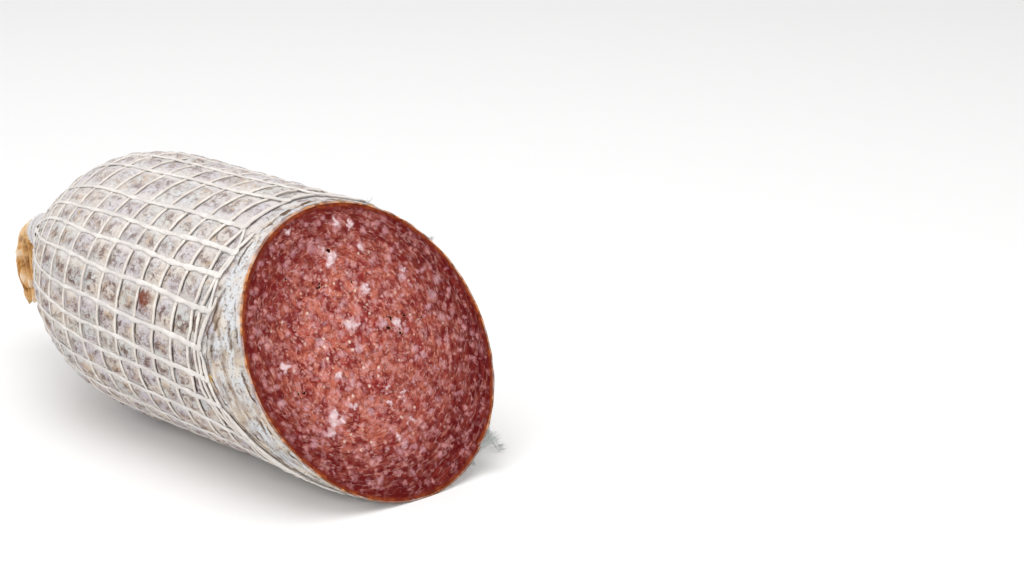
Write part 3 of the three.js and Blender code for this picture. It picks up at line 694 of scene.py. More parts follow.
def cured_meat():
    """Lean in crimson and orange-red, drier and darker towards the rim and the lower right, with
    salmon curls and dark cracks. Where the face is streaky they are taken on the swirl's coordinates,
    which draw them out round the middle. Over them lie grains of fat in three sizes, round cells of
    a warped Voronoi pattern picked by their random numbers, then the larger pieces of fat, the dark
    band at the rim, and the pits."""
    material, shader, place = new_material("cured_meat", 0.42, 0.06)
    where, marks = place.attribute("place"), place.attribute("marks")
    zones = place.noise(5.0, 3, 0.6)
    near_rim = 1 - (where.part(2) + (zones - 0.5) * 18.0).between(0.0, 24.0)
    low_right = (where.part(0) * 0.75 - where.part(1) * 0.4).between(-12.0, 38.0)
    dry = near_rim * 0.7 + low_right * 0.3
    ruddy = place.shifted(8, 21, 4).noise(6.5, 2, 0.6).between(0.5, 0.64)

    def grains(at, size, share, radius, soft):
        """How far a share of the cells of a size is covered, round, ragged and soft-edged, and a random
        number for each."""
        distance = at.node("ShaderNodeTexVoronoi", {}, {"Vector": at, "Scale": 1 / size})
        pick = distance.also(1)
        ragged = distance + (pick.part(1) - 0.5) * 0.2
        shown = pick.part(0).between(1 - share, 1 - share + 0.04)
        return shown * (1 - ragged.between(radius - soft, radius + soft)), pick.part(2)

    def threads(at):
        """The colour, the height and the flecks of the lean at a vector of millimetres."""
        warped = at.stirred(2.2, 1.9, 0.6)
        flecks = warped.noise(1.7, 2, 0.5)
        veil = warped.shifted(7, 3, 1).noise(2.6, 2, 0.5)
        curls = warped.shifted(5, 9, 2).noise(2.1, 1.5, 0.5).line(0.5, 0.08)
        curls = curls * warped.shifted(2, 8, 5).noise(1.5, 1).between(0.5, 0.64)
        cracks = warped.shifted(1, 4, 6).noise(2.7, 1.5, 0.5).line(0.47, 0.045)
        orange = (zones + (flecks - 0.5) * 0.25).between(0.4, 0.6)
        colour = orange.mix((136, 50, 46), (180, 98, 78)).under(
            (ruddy * 0.45, (150, 36, 38)),
            (veil.between(0.48, 0.66) * 0.5, (190, 112, 102)),
            (veil.between(0.5, 0.34) * 0.55, (110, 28, 28)),
            (flecks.between(0.46, 0.28) * 0.5, (102, 28, 26)),
            (dry * 1.15, (88, 8, 12)),
            (dry * veil.between(0.49, 0.62) * 0.5, (146, 58, 46)),
            (flecks.between(0.55, 0.74) * (0.45 - dry * 0.12), (218, 150, 134)),
            (cracks * 0.5, (96, 24, 22)),
            (curls * (0.7 - dry * 0.35), (222, 166, 158)),
        )
        return colour, flecks * 0.5 + curls * 0.5 - cracks * 0.7, flecks

    plain_colour, plain_height, flecks = threads(place)
    swirl_colour, swirl_height, _ = threads(place.attribute("swirl"))
    streaky = (marks.part(2) + (zones - 0.5) * 1.4).between(0.4, 0.6)
    height = plain_height * (1 - streaky) + swirl_height * streaky

    warped = place.stirred(2.8, 2.4, 0.6)
    soft = warped.shifted(3, 5, 9).noise(3.0, 2, 0.5)
    small, small_tint = grains(warped.shifted(31, 17, 5), 1.9, 0.4, 0.28, 0.24)
    middle, middle_tint = grains(warped, 2.8, 0.5, 0.28, 0.26)
    big, big_tint = grains(warped.shifted(11, 47, 25), 4.4, 0.14, 0.29, 0.24)
    # Painted highlights: tiny pale specks where the moist face would glint.
    painted_glints = grains(place, 1.5, 0.08, 0.3, 0.2)[0]
    height = height + soft * 0.5 + small * 0.3 + middle * 0.4 + big * 0.4

    def greyed(tint, fresh, other):
        """The colour of grains, between two fresh ones, and half dulled where the meat is dry."""
        return (dry * 0.5).mix(tint.mix(fresh, other), (210, 126, 132))

    fat = marks.part(0) + (flecks - 0.5) * 0.9
    ragged = where.part(2) + (flecks - 0.5) * 1.6
    pit = marks.part(1) + (flecks - 0.5) * 0.4
    halo = pit.line(0.25, 0.2) * marks.part(1).between(0.05, 0.2)
    colour = streaky.mix(plain_colour, swirl_colour).under(
        (soft.between(0.5, 0.72) * (0.62 - dry * 0.5), (200, 138, 134)),
        (small * (0.3 + flecks * 0.5), greyed(small_tint, (228, 172, 160), (210, 162, 172))),
        (middle * (0.1 + flecks * 0.9 + dry * 0.25), greyed(middle_tint, (222, 166, 160), (204, 158, 170))),
        (big * (0.1 + flecks), greyed(big_tint, (212, 162, 168), (218, 186, 196))),
        (dry * 0.22, (84, 6, 8)),
        (fat.between(0.15, 0.65) * 0.75, (210, 170, 172)),
        (fat.between(0.55, 1.05) * 0.7, (232, 214, 218)),
        # painted highlights
        (painted_glints * (0.75 - dry), (246, 218, 200)),
        ((1 - ragged.between(0.2, 3.4)) * 0.8, (94, 16, 12)),
        (1 - ragged.between(0.1, 1.5), zones.between(0.42, 0.58).mix((112, 40, 20), (146, 68, 34))),
        (halo * flecks.between(0.45, 0.6) * 0.7, (232, 190, 158)),
        (pit.between(0.22, 0.45), (52, 8, 8)),
    )
    dress(material, shader, colour, height + fat.between(0.3, 0.6) * 0.5, 0.22, 0.34 + flecks * 0.25)
    return material


make_piece("meat", *meat_mesh(), "salami", "casing", cured_meat())

# The net is knitted from loose white cotton, with thick strands that run along it. They are stretched
# tight over the salami, but by the cut the net has gone slack and bunched up on the near side. There
# each strand ends in a knot, and a thin yarn joins it to the next.
STRAND_LIFT, SLACK_LIFT, SLACK_LENGTH = 0.72, 0.45, 30
LINE_HALF_WIDTH, LINE_HALF_HEIGHT = 0.95, 0.36
STRETCHED_FROM, STRETCHED_OVER, STRETCHED_WIDTH = -115, 100, 0.62
PLY_PITCH, PLY_DEPTH = 4.2, 0.06
STRAND_STEP, STRAND_SIDES, STRAND_TAPER, TIP_SHARE = 0.75, 8, 1.6, 0.12
BOW, STRAY, STRAY_LENGTH = 0.3, 0.5, 7
LINE_OVER_HOOP, KNOT_SWELL, KNOT_LENGTH = 0.16, 0.34, 2.0
UNEVEN, UNEVEN_LENGTH = 0.17, 4.5
HOOP_TO_CUT, PAST_HOOP, COURSE_STEPS = 1.0, 0.1, 3000
END_KNOT_SWELL, END_KNOT_LENGTH = 0.35, 1.3
CORD_STEPS, CORD_ROUNDING, CORD_SINK, CORD_THINNING, CORD_ARCS = 300, 41, 0.3, 0.55, (-0.9, 1.3)
LINES_END, TIE_BACK = -179.2, -177.2
GATHERED_LIFT, FLARE = 0.5, 0.4
GATHERED_FROM, GATHERED_OVER, GATHERED_WIDTH, GATHERED_ROOM = -156, 9, 0.4, 1.2
FLOOR_LEVEL, FLOOR_GAP = -RADIUS, 0.05


def slack_at(x, angle):
    """How far the net stands off more by the cut than where it is tight."""
    return SLACK_LIFT * smoothstep(1 - (net_end_at(angle) - x) / SLACK_LENGTH)


def gathered_at(x):
    """How far the strands stand off more on the neck, where they lie in a bundle, and flare behind
    the tie."""
    return GATHERED_LIFT * smoothstep((NECK_START + 4 - x) / 4) + FLARE * smoothstep((TIE_BACK - x) / 2)


def width_at(x):
    """The strands are drawn thin over the tied end, and loosen and fluff out towards the cut."""
    return STRETCHED_WIDTH + (1 - STRETCHED_WIDTH) * smoothstep((x - STRETCHED_FROM) / STRETCHED_OVER)


def above_floor(path, half_height):
    """The path, lifted where the yarn would reach under the floor."""
    height = np.maximum(path[:, 2], FLOOR_LEVEL + half_height + FLOOR_GAP)
    return np.stack([path[:, 0], path[:, 1], height], -1)


def yarn(path, outward, width, height, phase, taper, closed=False, pitch=PLY_PITCH, depth=PLY_DEPTH):
    """A two-ply yarn along a path: an ellipse of a half width and a half height across it, whose radius
    swells as 1 + depth cos(2(turn - 2 pi s / pitch) + phase), with its ends drawn in, and pressed flat
    where it meets the floor. Returned are its rings, each point's place in the yarn, and whether it is
    closed."""
    tangent = np.gradient(path, axis=0)
    if closed:
        tangent = (np.roll(path, -1, axis=0) - np.roll(path, 1, axis=0)) / 2
    tangent /= np.linalg.norm(tangent, axis=1)[:, None]
    outward = outward - (outward * tangent).sum(1)[:, None] * tangent
    outward /= np.linalg.norm(outward, axis=1)[:, None]
    side = np.cross(tangent, outward)
    step = np.linalg.norm(np.diff(path, axis=0), axis=1)
    s = np.concatenate([[0], np.cumsum(step)])
    turn = np.linspace(0, 2 * math.pi, STRAND_SIDES, endpoint=False)
    ply = 1 + depth * np.cos(2 * (turn - 2 * math.pi * s[:, None] / pitch) + phase)
    ends = smoothstep(s / taper + TIP_SHARE) * smoothstep((s[-1] - s) / taper + TIP_SHARE)
    if closed:
        ends = np.ones_like(s)
    sideways = (width * ends)[:, None] * ply * np.cos(turn)
    upwards = (height * ends)[:, None] * ply * np.sin(turn)
    ring = path[:, None] + sideways[..., None] * side[:, None] + upwards[..., None] * outward[:, None]
    ring[..., 2] = np.maximum(ring[..., 2], FLOOR_LEVEL)
    place = np.broadcast_arrays(np.cos(turn), np.sin(turn), s[:, None] + phase * 9)
    return ring, np.stack(place, -1), closed


def joined_yarns(yarns):
    """One mesh of many yarns: quads round and along each, and a cap on either end of an open one."""
    quads, caps, first = [], [], 0
    for ring, _, closed in yarns:
        rows, sides = ring.shape[:2]
        number = first + np.arange(rows * sides).reshape(rows, sides)
        if closed:
            number = np.concatenate([number, number[:1]])
        else:
            caps += [number[:1, ::-1], number[-1:]]
        after = np.roll(number, -1, axis=1)
        quads.append(np.stack([number[:-1], after[:-1], after[1:], number[1:]], -1).reshape(-1, 4))
        first += rows * sides
    points = np.concatenate([ring.reshape(-1, 3) for ring, _, _ in yarns])
    places = np.concatenate([place.reshape(-1, 3) for _, place, _ in yarns])
    return points, [np.concatenate(quads), np.concatenate(caps)], {"yarn": places}


def outward_at(path, x, angle):
    """The way away from the skin at points of a path."""
    away = skin_point(x, angle, 3.0) - skin_point(x, angle, 0.0)
    return away / np.linalg.norm(away, axis=1)[:, None]


def along_evenly(path, step, *fields, closed=False, count=None):
    """A path and the fields along it, taken again at equal steps, or at a count of places."""
    if closed:
        path = np.concatenate([path, path[:1]])
        fields = [np.append(field, field[0]) for field in fields]
    travelled = np.concatenate([[0], np.cumsum(np.linalg.norm(np.diff(path, axis=0), axis=1))])
    count = count or max(4, int(travelled[-1] / step))
    even = np.linspace(0, travelled[-1], count, endpoint=not closed)
    again = [np.interp(even, travelled, field) for field in (*path.T, *fields)]
    return np.stack(again[:3], -1), *again[3:]


def last_hoop_at(angle):
    """The number of the hoop nearest to the cut at an angle."""
    x = cut_at(angle) - HOOP_TO_CUT
    return np.floor(np.interp(x - lean_at(angle, x), stations, np.arange(len(stations))))


def strand_course(number, beyond):
    """The stations, the angles and the hoops' numbers along a long strand, from behind the tie over
    the dome to a little beyond the net's cut edge, but no further than the last hoop."""
    base = line_angles[number]
    end = float(net_end_at(base + fan_at(base, 0.0)))
    for _ in range(3):
        end = float(net_end_at(base + fan_at(base, end)))
    x = np.linspace(LINES_END, end + beyond, COURSE_STEPS)
    angle = base + fan_at(base, x)
    hoop = net_place(x, angle)[1]
    past = hoop - last_hoop_at(angle) - PAST_HOOP > 0
    keep = np.arange(len(x)) <= (np.argmax(past) if past.any() else len(x))
    return x[keep], angle[keep], hoop[keep]


def joining_yarn(x, angle, next_x, next_angle, random):
    """The thin yarn from the end of a long strand to the end of the next, which follows the edge of
    the band of hoops, bent by an arc. With it comes the share of its way."""
    share = np.linspace(0, 1, CORD_STEPS)
    turned = angle + turn_between(next_angle, angle) * share
    edge = net_end_at(turned) + band_at(turned)
    bent = edge - edge[0] - (edge[-1] - edge[0]) * share
    arc = random.uniform(*CORD_ARCS) * np.sin(math.pi * share)
    return x + (next_x - x) * share + bent + arc, turned, share


def rounded(values):
    """The values as a moving mean, which rounds their corners, but for a few at either end."""
    ends = CORD_ROUNDING // 2
    mean = np.convolve(values, np.ones(CORD_ROUNDING) / CORD_ROUNDING, "valid")
    return np.concatenate([values[:ends], mean, values[-ends:]])


def long_strand(number, courses, random):
    """A strand bows up a little between hoops, and rises over each and thickens there. At the cut
    edge it ends in a knot and runs on as the thin yarn to the next."""
    x, angle, hoop = courses[number]
    next_x, next_angle, _ = courses[(number + 1) % NET_LINES]
    angle = angle + np.degrees(BOW * np.abs(np.sin(math.pi * hoop)) * evenness_at(x) / radius_at(x))
    angle = angle + STRAY * np.sin(x / STRAY_LENGTH + number * 2.1)
    cord_x, cord_angle, share = joining_yarn(x[-1], angle[-1], next_x[-1], next_angle[-1], random)
    x, angle = rounded(np.append(x, cord_x)), rounded(np.append(angle, cord_angle))
    hoop = np.append(hoop, np.full(CORD_STEPS, hoop[-1]))
    cord = np.append(np.zeros(len(x) - CORD_STEPS), share)
    to_hoop = np.abs(hoop - np.round(hoop)) * HOOP_PITCH
    lift = STRAND_LIFT + LINE_OVER_HOOP * np.cos(2 * math.pi * hoop) * evenness_at(x)
    lift += slack_at(x, angle) + gathered_at(x) - CORD_SINK * smoothstep(cord * 3)
    fields = (x, angle, to_hoop, cord)
    path, x, angle, to_hoop, cord = along_evenly(skin_point(x, angle, lift), STRAND_STEP, *fields)
    to_knot = (np.arange(len(x)) - np.argmax(cord > 0)) * STRAND_STEP
    swell = 1 + KNOT_SWELL * np.exp(-((to_hoop / KNOT_LENGTH) ** 2))
    swell += UNEVEN * ripples(path, UNEVEN_LENGTH, 8, 90 + number)
    swell *= 1 - CORD_THINNING * smoothstep(cord * 5)
    swell += END_KNOT_SWELL * np.exp(-((to_knot / END_KNOT_LENGTH) ** 2))
    room = math.pi * (radius_at(x) + GATHERED_ROOM) / NET_LINES
    gathered = GATHERED_WIDTH * smoothstep((GATHERED_FROM - x) / GATHERED_OVER)
    width = LINE_HALF_WIDTH * (width_at(x) + gathered)
    height = LINE_HALF_HEIGHT * (0.9 + 0.1 * width_at(x))
    return above_floor(path, height), x, angle, np.minimum(room, width) * swell, height, False


def net_strands(strands, seed):
    """The mesh of strands, each given as path, stations, angles, half width, half height and whether
    it closes on itself, and twisted from a random start."""
    random = np.random.default_rng(seed)
    yarns = []
    for path, x, angle, width, height, closed in strands:
        outward = outward_at(path, x, angle)
        yarns.append(yarn(path, outward, width, height, random.uniform(0, 6), STRAND_TAPER, closed))
    return joined_yarns(yarns)


def loose_cotton(name, dusty, clean):
    """Matt cotton, white where it is clean and greyer where mould has dusted it, with fine fibres
    along the twist."""
    material, shader, place = new_material(name, 0.95, 0.15)
    shader.inputs["Sheen Weight"].default_value = 0.2
    fibres = place.attribute("yarn").vector("MULTIPLY", (1.6, 1.6, 0.9)).noise(0.5, 3, 0.6)
    tone = place.noise(9, 3, 0.6)
    fluff = place.noise(1.1, 2, 0.6)
    colour = tone.between(0.38, 0.62).mix(dusty, clean).under(
        (fluff.between(0.45, 0.7) * 0.35, (196, 186, 178)),
        (fibres.between(0.35, 0.62) * 0.35, (214, 203, 192)),
    )
    dress(material, shader, colour, fibres + fluff * 0.8, 0.2)
    return material


net_random = np.random.default_rng(17)
courses = [strand_course(number, net_random.uniform(-0.8, 1.6)) for number in range(NET_LINES)]
lines = [long_strand(number, courses, net_random) for number in range(NET_LINES)]
white = loose_cotton("loose_cotton", (216, 212, 210), (236, 232, 229))
make_piece("net_long_strands", *net_strands(lines, 41), "netting", "cotton_net", white)

# The hoops of the net are thinner yarns that run round and dip under the long strands. Along the body
# they lie a mesh apart, and in the slack band before the cut they crowd together and tangle.
HOOP_HALF_WIDTH, HOOP_HALF_HEIGHT, HOOP_SINK, HOOP_UNDER_LINE = 0.6, 0.38, 0.15, 0.12
HOOP_STEPS, HOOP_SWAY, TANGLE, TANGLED_FROM = 1440, 0.18, 0.75, 22


def hoop_strand(number):
    """Round the salami at its station, running ahead over the top. One that meets the knife's plane
    is open there."""
    angle = np.linspace(0, 360, HOOP_STEPS, endpoint=False)
    regular = stations[number] + lean_at(angle, np.full_like(angle, stations[number]))
    there = regular < cut_at(angle) - HOOP_TO_CUT
    closed = bool(there.all())
    if not closed:
        start = int(np.argmax(~there))
        angle, regular, there = (np.roll(field, -start) for field in (angle, regular, there))
        angle = np.where(angle < angle[0], angle + 360, angle)[there]
        regular = regular[there]
    crowded = crowd(regular, angle)
    loose = smoothstep(1 - (net_end_at(angle) - crowded) / TANGLED_FROM)
    sway = ripples(skin_point(crowded, angle, 0.0), 13, 9, 200 + number)
    x = crowded + (HOOP_SWAY + TANGLE * loose) * sway
    dip = HOOP_SINK + HOOP_UNDER_LINE * np.cos(2 * math.pi * net_place(x, angle)[0]) * evenness_at(x)
    lift = STRAND_LIFT - dip + slack_at(x, angle)
    turned = np.unwrap(angle, period=360)
    path, x, angle = along_evenly(skin_point(x, angle, lift), STRAND_STEP, x, turned, closed=closed)
    swell = 1 + UNEVEN * ripples(path, UNEVEN_LENGTH, 8, 60 + number)
    width = HOOP_HALF_WIDTH * np.sqrt(width_at(x)) * swell
    return above_floor(path, HOOP_HALF_HEIGHT), x, angle, width, HOOP_HALF_HEIGHT, closed


hoops = [hoop_strand(number) for number in range(len(stations))]
creamy = loose_cotton("creamy_cotton", (226, 218, 211), (241, 236, 230))
make_piece("net_hoops", *net_strands(hoops, 43), "netting", "cotton_net", creamy)

# The string is white twine, wound twice round the gathered net and casing and knotted at the back of
# the neck. Its two ends are cut short.
TIE_START, TIE_PITCH, TIE_TURNS, TIE_RADIUS = -173.0, 1.9, 2, 6.0
STRING_RADIUS, STRING_PLY_PITCH, STRING_PLY_DEPTH, CORD_SIDE = 0.8, 3.2, 0.16, (0.31, 0.17, 0.94)
KNOT_ANGLE, KNOT_LIFT, KNOT_SIZE, KNOT_TIGHTNESS = 195, 1.3, 0.62, 0.9
TIE_STEPS, KNOT_STEPS, STRING_END_STEPS, STRING_ENDS_APART = 160, 60, 30, 0.8
TIE_MIDDLE = TIE_START - TIE_PITCH * TIE_TURNS / 2
STRING_END_TURNS, STRING_END_BACK, STRING_END_LIFT = (0, 14, 34, 52), (0, -1, -2, -3), (1.3, 3.5, 4.3, 3.2)


def round_end(x, angle, radius):
    """A point at an angle and a distance round the middle of the tied end."""
    turn = np.radians(angle)
    return np.stack(np.broadcast_arrays(x, -np.cos(turn) * radius, END_RISE + np.sin(turn) * radius), -1)


def smooth_path(bends, count):
    """A Catmull-Rom curve through the bends: on each stretch a cubic through its two ends, whose
    slopes are half the way between the neighbours of each end."""
    bends = np.asarray(bends, float)
    ends = np.concatenate([2 * bends[:1] - bends[1:2], bends, 2 * bends[-1:] - bends[-2:-1]])
    at = np.linspace(0, len(bends) - 1, count)
    left = np.minimum(at.astype(int), len(bends) - 2)
    t = (at - left)[:, None]
    before, start, end, after = (ends[left + step] for step in range(4))
    slope_start, slope_end = (end - before) / 2, (after - start) / 2
    curve = (2 * t**3 - 3 * t**2 + 1) * start + (t**3 - 2 * t**2 + t) * slope_start
    return curve + (3 * t**2 - 2 * t**3) * end + (t**3 - t**2) * slope_end


def cords(paths):
    """One mesh of round twisted cords, each given as a path, a radius and how far its ends are drawn
    in. The ellipse of the yarn is a circle here, turned by a fixed side direction."""
    yarns = []
    for number, (path, radius, taper) in enumerate(paths):
        upright = np.broadcast_to(CORD_SIDE, path.shape)
        ply = (STRING_PLY_PITCH, STRING_PLY_DEPTH)
        yarns.append(yarn(path, upright, radius, radius, number * 1.7, taper, False, *ply))
    return joined_yarns(yarns)


def tie_paths():
    """The winding, a trefoil for the knot, and the two ends."""
    turns = np.linspace(0, TIE_TURNS, TIE_STEPS)
    winding = round_end(TIE_START - TIE_PITCH * turns, KNOT_ANGLE + 360 * turns, TIE_RADIUS)
    t = np.linspace(0, 2 * math.pi, KNOT_STEPS)
    across, along, out = np.sin(t) + 2 * np.sin(2 * t), np.cos(t) - 2 * np.cos(2 * t), -np.sin(3 * t)
    turned = KNOT_ANGLE + np.degrees(KNOT_SIZE * across / TIE_RADIUS)
    knot = round_end(TIE_MIDDLE + KNOT_SIZE * along, turned, TIE_RADIUS + KNOT_LIFT + KNOT_SIZE * out)
    paths = [(winding, STRING_RADIUS, 0.5), (knot, STRING_RADIUS * KNOT_TIGHTNESS, 0.5)]
    for side in (-1, 1):
        angle = KNOT_ANGLE + side * np.array(STRING_END_TURNS)
        station = TIE_MIDDLE + np.array(STRING_END_BACK) - side * STRING_ENDS_APART
        bends = round_end(station, angle, TIE_RADIUS + np.array(STRING_END_LIFT))
        paths.append((smooth_path(bends, STRING_END_STEPS), STRING_RADIUS * KNOT_TIGHTNESS, 0.8))
    return paths


bluish_white = loose_cotton("twine_cotton", (216, 214, 218), (232, 230, 230))
make_piece("twine", *cords(tie_paths()), "tie_string", "string", bluish_white)

# Beyond the lower far rim, loose yarns of the cut net hang down to the table. Their fibres have come
# apart into wisps, and a few small tufts stick up over the far rim.
FRAY_ANGLE, FRAY_LIFT, FRAY_FROM_CUT = -172, 0.9, 2.8
FRAY_RADIUS, FRAY_COUNT, FRAY_FAN, FRAY_KICK, FRAY_PARTING = 0.55, 3, 3.5, 3, 0.3
FRAY_STEPS, FRAY_SWAY = 70, (0.3, 0.2, 0)
FIBRE_RADIUS, FIBRE_STEPS = 0.065, 10
WISP_FROM_CUT, WISP_LIFT, WISP_ROOT_SPREAD, WISP_CURL = 2.2, 0.6, 0.5, 0.25
WISP_REACHES, WISP_WAVES = (0.45, 1.1), (4, 9)
TIP_STEPS, TIP_WAY, TIP_SPREAD, TIP_FIBRES = 12, (1.0, 0.7, 0.3), 0.6, 14
# Each wisp: the angle it starts from on the rim, its way in millimetres, its spread and its fibres
WISPS = [
    (-124, (4.5, 6.5, 5.2), 0.5, 110), (-127, (3.4, 5.0, 4.2), 0.45, 60), (-120, (2.1, 1.0, -1.9), 0.4, 40),
    (-131, (1.9, 1.7, 0.4), 0.4, 50), (-137, (1.0, 0.9, 0.8), 0.3, 30), (116, (0.5, 0.5, 1.3), 0.4, 20),
    (146, (0.8, 1.1, 1.0), 0.4, 20), (-60, (1.4, -0.8, -0.6), 0.4, 8), (-84, (1.5, 0.3, -0.4), 0.4, 10),
]


def fray_yarns():
    """Yarns that hang from the net's edge beside the rim and turn out on the table."""
    table = FLOOR_LEVEL + FRAY_RADIUS + 0.1
    root = skin_point(cut_at(FRAY_ANGLE) - FRAY_FROM_CUT, FRAY_ANGLE, FRAY_LIFT)
    yarns = []
    for strand in range(FRAY_COUNT):
        fan = FRAY_FAN * strand
        parting = root + (np.array([root[0], root[1], table]) - root) * FRAY_PARTING * strand
        foot = np.array([root[0] + fan, root[1] - 0.5 * fan, table])
        bends = [
            parting,
            (root[0] + 0.5 * fan, root[1] - 0.25 * fan, (parting[2] + table) / 2),
            foot + (0, 0, 4),
            foot + (FRAY_KICK / 2, FRAY_KICK / 2 - 0.1 * fan, 0.6),
            foot + (FRAY_KICK, FRAY_KICK - 0.1 * fan, 0),
        ]
        sway = np.sin(np.linspace(0, 9, FRAY_STEPS) + strand)[:, None] * FRAY_SWAY
        yarns.append(smooth_path(bends, FRAY_STEPS) + sway)
    return yarns


def wisp(start, way, spread, count, random):
    """Fibres that leave a place together and part along the way: each runs straight, plus a drift
    that grows with the square of the way and a sine to and fro."""
    share = np.linspace(0, 1, FIBRE_STEPS)[:, None]
    fibres = []
    for _ in range(count):
        drift, curl = random.normal(0, spread, 3), random.normal(0, spread * WISP_CURL, 3)
        root = start + random.normal(0, WISP_ROOT_SPREAD, 3)
        reach = random.uniform(*WISP_REACHES)
        wave = np.sin(share * random.uniform(*WISP_WAVES)) * curl
        path = root + (np.array(way) * share + drift * share**2 + wave) * reach
        fibres.append(above_floor(path, FIBRE_RADIUS))
    return fibres


fray_random = np.random.default_rng(23)
yarn_paths = fray_yarns()
fibres = []
for angle, way, spread, count in WISPS:
    root = skin_point(cut_at(angle) - WISP_FROM_CUT, angle, WISP_LIFT)
    fibres += wisp(root, way, spread, count, fray_random)
for path in yarn_paths:
    way = path[-1] - path[-TIP_STEPS] + TIP_WAY
    fibres += wisp(path[-TIP_STEPS], way, TIP_SPREAD, TIP_FIBRES, fray_random)
frays = [(path, FRAY_RADIUS, 2.5) for path in yarn_paths] + [(path, FIBRE_RADIUS, 1.0) for path in fibres]
blue_grey = loose_cotton("blue_grey_cotton", (188, 200, 202), (226, 230, 228))
make_piece("loose_yarns", *cords(frays), "frayed_ends", "cotton_net", blue_grey)

# The end of the casing hangs out behind the tie: gut dried to a crumpled parchment, honey-coloured,
# folded lengthwise and flattened, with a ragged lower edge.
TAIL_GAP = 0.4
TAIL_BENDS = [(0, 0), (1.5, 0.1), (6.4, 4.8), (7.3, 12), (5.6, 20), (2.4, 28.5)]
TAIL_ROOT_RADIUS, TAIL_HALF_WIDTH, TAIL_HALF_THICKNESS = 3.6, 5.2, 2
TAIL_FOOT_TAPER, TAIL_FOLDS, TAIL_FOLD_DEPTH, TAIL_CURL = 0.35, 3, 1.4, 2
TAIL_OPENS_FROM, TAIL_OPENS_OVER, TAIL_RAGGED_FROM = 0.12, 0.53, 0.8
TAIL_CRUMPLES = [(11, 12, 0.55, 71), (4.5, 16, 0.33, 72), (1.9, 20, 0.12, 74)]
CREASE_DEPTH, CREASE_SHARPNESS, RAGGED = 0.45, 2.2, 1.6
TAIL_ROWS, TAIL_SIDES = 130, 150


def tail_mesh():
    """Closed sections along a bent path, from a circle to a flat oval that is folded by a sine across
    its width; crumpled by ripples of three sizes, and creased along the lines where a further field
    of ripples crosses zero."""
    start = NECK_END - TAIL_GAP
    bends = [(start - behind, 0, END_RISE - below) for behind, below in TAIL_BENDS]
    centre = along_evenly(smooth_path(bends, 400), 1.0, count=TAIL_ROWS)[0][:, None, :]
    tangent = np.gradient(centre[:, 0], axis=0)
    tangent /= np.linalg.norm(tangent, axis=1)[:, None]
    outwards = np.stack([tangent[:, 2], np.zeros(TAIL_ROWS), -tangent[:, 0]], -1)[:, None, :]
    along = np.linspace(0, 1, TAIL_ROWS)[:, None]
    angle = np.linspace(0, 2 * math.pi, TAIL_SIDES, endpoint=False)[None, :]
    opening = smoothstep((along - TAIL_OPENS_FROM) / TAIL_OPENS_OVER)
    taper = 1 - TAIL_FOOT_TAPER * along**4
    width = (TAIL_ROOT_RADIUS + (TAIL_HALF_WIDTH - TAIL_ROOT_RADIUS) * opening) * taper
    thickness = TAIL_ROOT_RADIUS + (TAIL_HALF_THICKNESS - TAIL_ROOT_RADIUS) * opening
    across = np.sin(angle)
    fold = TAIL_FOLD_DEPTH * opening * np.sin(math.pi * TAIL_FOLDS * across + 2 * along)
    curl = TAIL_CURL * opening * along * across**2
    points = centre + outwards * (width * across)[..., None]
    points[..., 1] += fold - curl - np.cos(angle) * thickness
    around = np.stack(np.broadcast_arrays(4 * np.cos(angle), 4 * np.sin(angle), 30 * along), -1)
    crease = 1 - np.abs(ripples(around, 6, 12, 73)) * CREASE_SHARPNESS
    depth = roughened(around, TAIL_CRUMPLES) - CREASE_DEPTH * np.maximum(0, crease)
    outward = outwards * (across * np.ones_like(along))[..., None]
    outward = outward + np.array([0, -1, 0]) * np.cos(angle)[..., None]
    points = points + outward * (depth * (0.35 + 0.65 * opening))[..., None]
    edge = np.stack([4 * np.cos(angle[0]), 4 * np.sin(angle[0]), 0 * angle[0]], -1)
    ragged = RAGGED * ripples(edge, 5, 9, 75)
    at_edge = smoothstep((along - TAIL_RAGGED_FROM) / (1 - TAIL_RAGGED_FROM))[..., None]
    points += tangent[-1] * at_edge * ragged[None, :, None]
    middle = [points[0].mean(0), points[-1].mean(0)]
    count = TAIL_ROWS * TAIL_SIDES
    faces = [
        wrapped_faces(TAIL_ROWS, TAIL_SIDES),
        pole_faces(0, TAIL_SIDES, count, True),
        pole_faces(count - TAIL_SIDES, TAIL_SIDES, count + 1, False),
    ]
    fields = np.stack(np.broadcast_arrays(depth, along, across), -1)
    fields = np.concatenate([fields.reshape(-1, 3), np.zeros((2, 3))])
    return np.concatenate([points.reshape(-1, 3), middle]), faces, {"folds": fields}


def dry_gut():
    """Honey and ochre parchment, a little shiny, brown with painted shade in the valleys and pale with
    painted highlights on the ridges.
    """
    material, shader, place = new_material("dry_gut", 0.45, 0.5)
    depth = place.attribute("folds").part(0)
    tone = place.noise(5.5, 2)
    fine = place.noise(1.4, 3, 0.6)
    fibres = place.vector("MULTIPLY", (1.0, 1.0, 0.3)).noise(0.9, 2, 0.5)
    uneven = depth + (fine - 0.5) * 0.8
    colour = tone.between(0.38, 0.62).mix((206, 154, 84), (226, 186, 134)).under(
        # Painted shade in the valleys and painted highlights on the ridges.
        (uneven.between(-0.15, -0.9) * 0.7, (150, 100, 44)),
        (uneven.between(0.15, 0.7) * 0.7, (244, 226, 202)),
        (fibres.between(0.5, 0.7) * 0.3, (170, 120, 62)),
    )
    dress(material, shader, colour, fine + fibres * 0.6, 0.35, 0.35 + fine * 0.3)
    return material


make_piece("gut_end", *tail_mesh(), "casing_tail", "dry_casing", dry_gut())

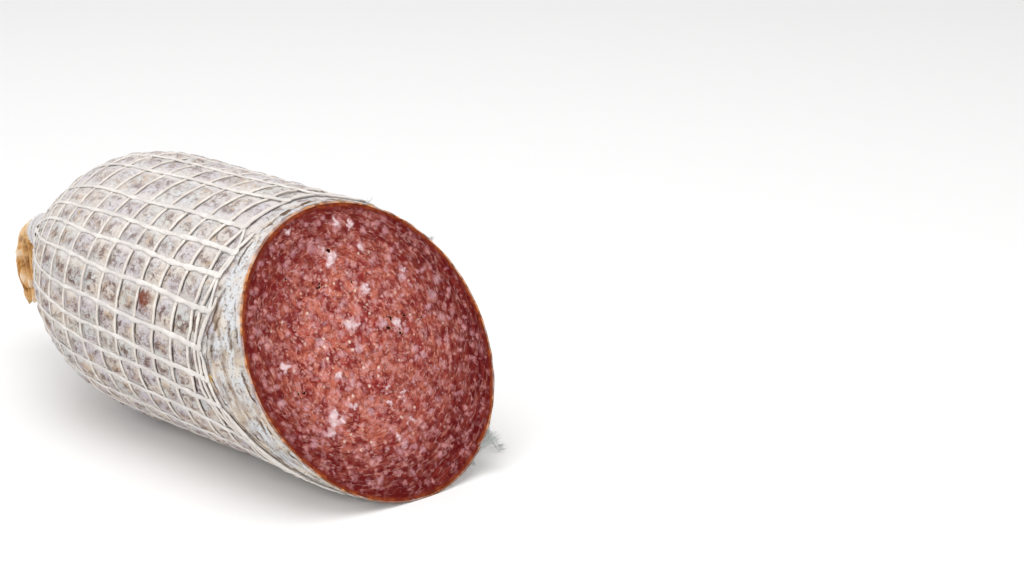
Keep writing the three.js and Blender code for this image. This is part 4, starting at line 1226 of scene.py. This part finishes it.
# The stage and the camera: a plain pale floor, soft light from the right and above, and the camera
# where the photograph was taken from.
CAMERA_FROM_CUT = (535.8, -532.8, 291.2)
CAMERA_TURN = (90 - 19.484, 0, 41.548)
LENS = 84.375
camera_data = bpy.data.cameras.new("camera")
camera_data.lens, camera_data.sensor_width = LENS, 36
camera = bpy.data.objects.new("camera", camera_data)
bpy.context.scene.collection.objects.link(camera)
camera.location = (CUT_CENTRE + CAMERA_FROM_CUT) * MM
camera.rotation_euler = [math.radians(turn) for turn in CAMERA_TURN]
bpy.context.scene.camera = camera


def area_light(name, place, target, power, size, colour):
    """A square soft light at a place in metres, turned towards a target."""
    data = bpy.data.lights.new(name, "AREA")
    data.energy, data.size, data.color = power, size, colour
    light = bpy.data.objects.new(name, data)
    bpy.context.scene.collection.objects.link(light)
    light.location = place
    way = np.array(target) - np.array(place)
    flat = math.hypot(way[0], way[1])
    light.rotation_euler = (math.atan2(flat, -way[2]), 0, math.atan2(way[1], way[0]) - math.pi / 2)


area_light("overhead", (0.1, -0.15, 1.1), (0, 0, 0.04), 6.6, 0.9, (1, 0.995, 0.99))
area_light("side", (0.9, -0.45, 0.35), (0, 0, 0.04), 2.3, 0.5, (1, 0.985, 0.965))
area_light("front", (-0.4, -0.9, 0.5), (0, 0, 0.04), 1.9, 0.8, (1, 1, 1))
world = bpy.data.worlds.new("world")
world.use_nodes = True
world.node_tree.nodes["Background"].inputs["Color"].default_value = (1, 1, 1, 1)
world.node_tree.nodes["Background"].inputs["Strength"].default_value = 0.7
bpy.context.scene.world = world
bpy.context.scene.view_settings.view_transform = "Standard"

floor_mesh = bpy.data.meshes.new("floor")
floor_mesh.from_pydata([(-6, -6, 0), (6, -6, 0), (6, 6, 0), (-6, 6, 0)], [], [(0, 1, 2, 3)])
floor = bpy.data.objects.new("floor", floor_mesh)
bpy.context.scene.collection.objects.link(floor)
floor_material = bpy.data.materials.new("pale_floor")
floor_material.use_nodes = True
floor_shader = floor_material.node_tree.nodes["Principled BSDF"]
floor_shader.inputs["Base Color"].default_value = (0.9, 0.9, 0.9, 1)
floor_shader.inputs["Roughness"].default_value = 0.9
floor_mesh.materials.append(floor_material)
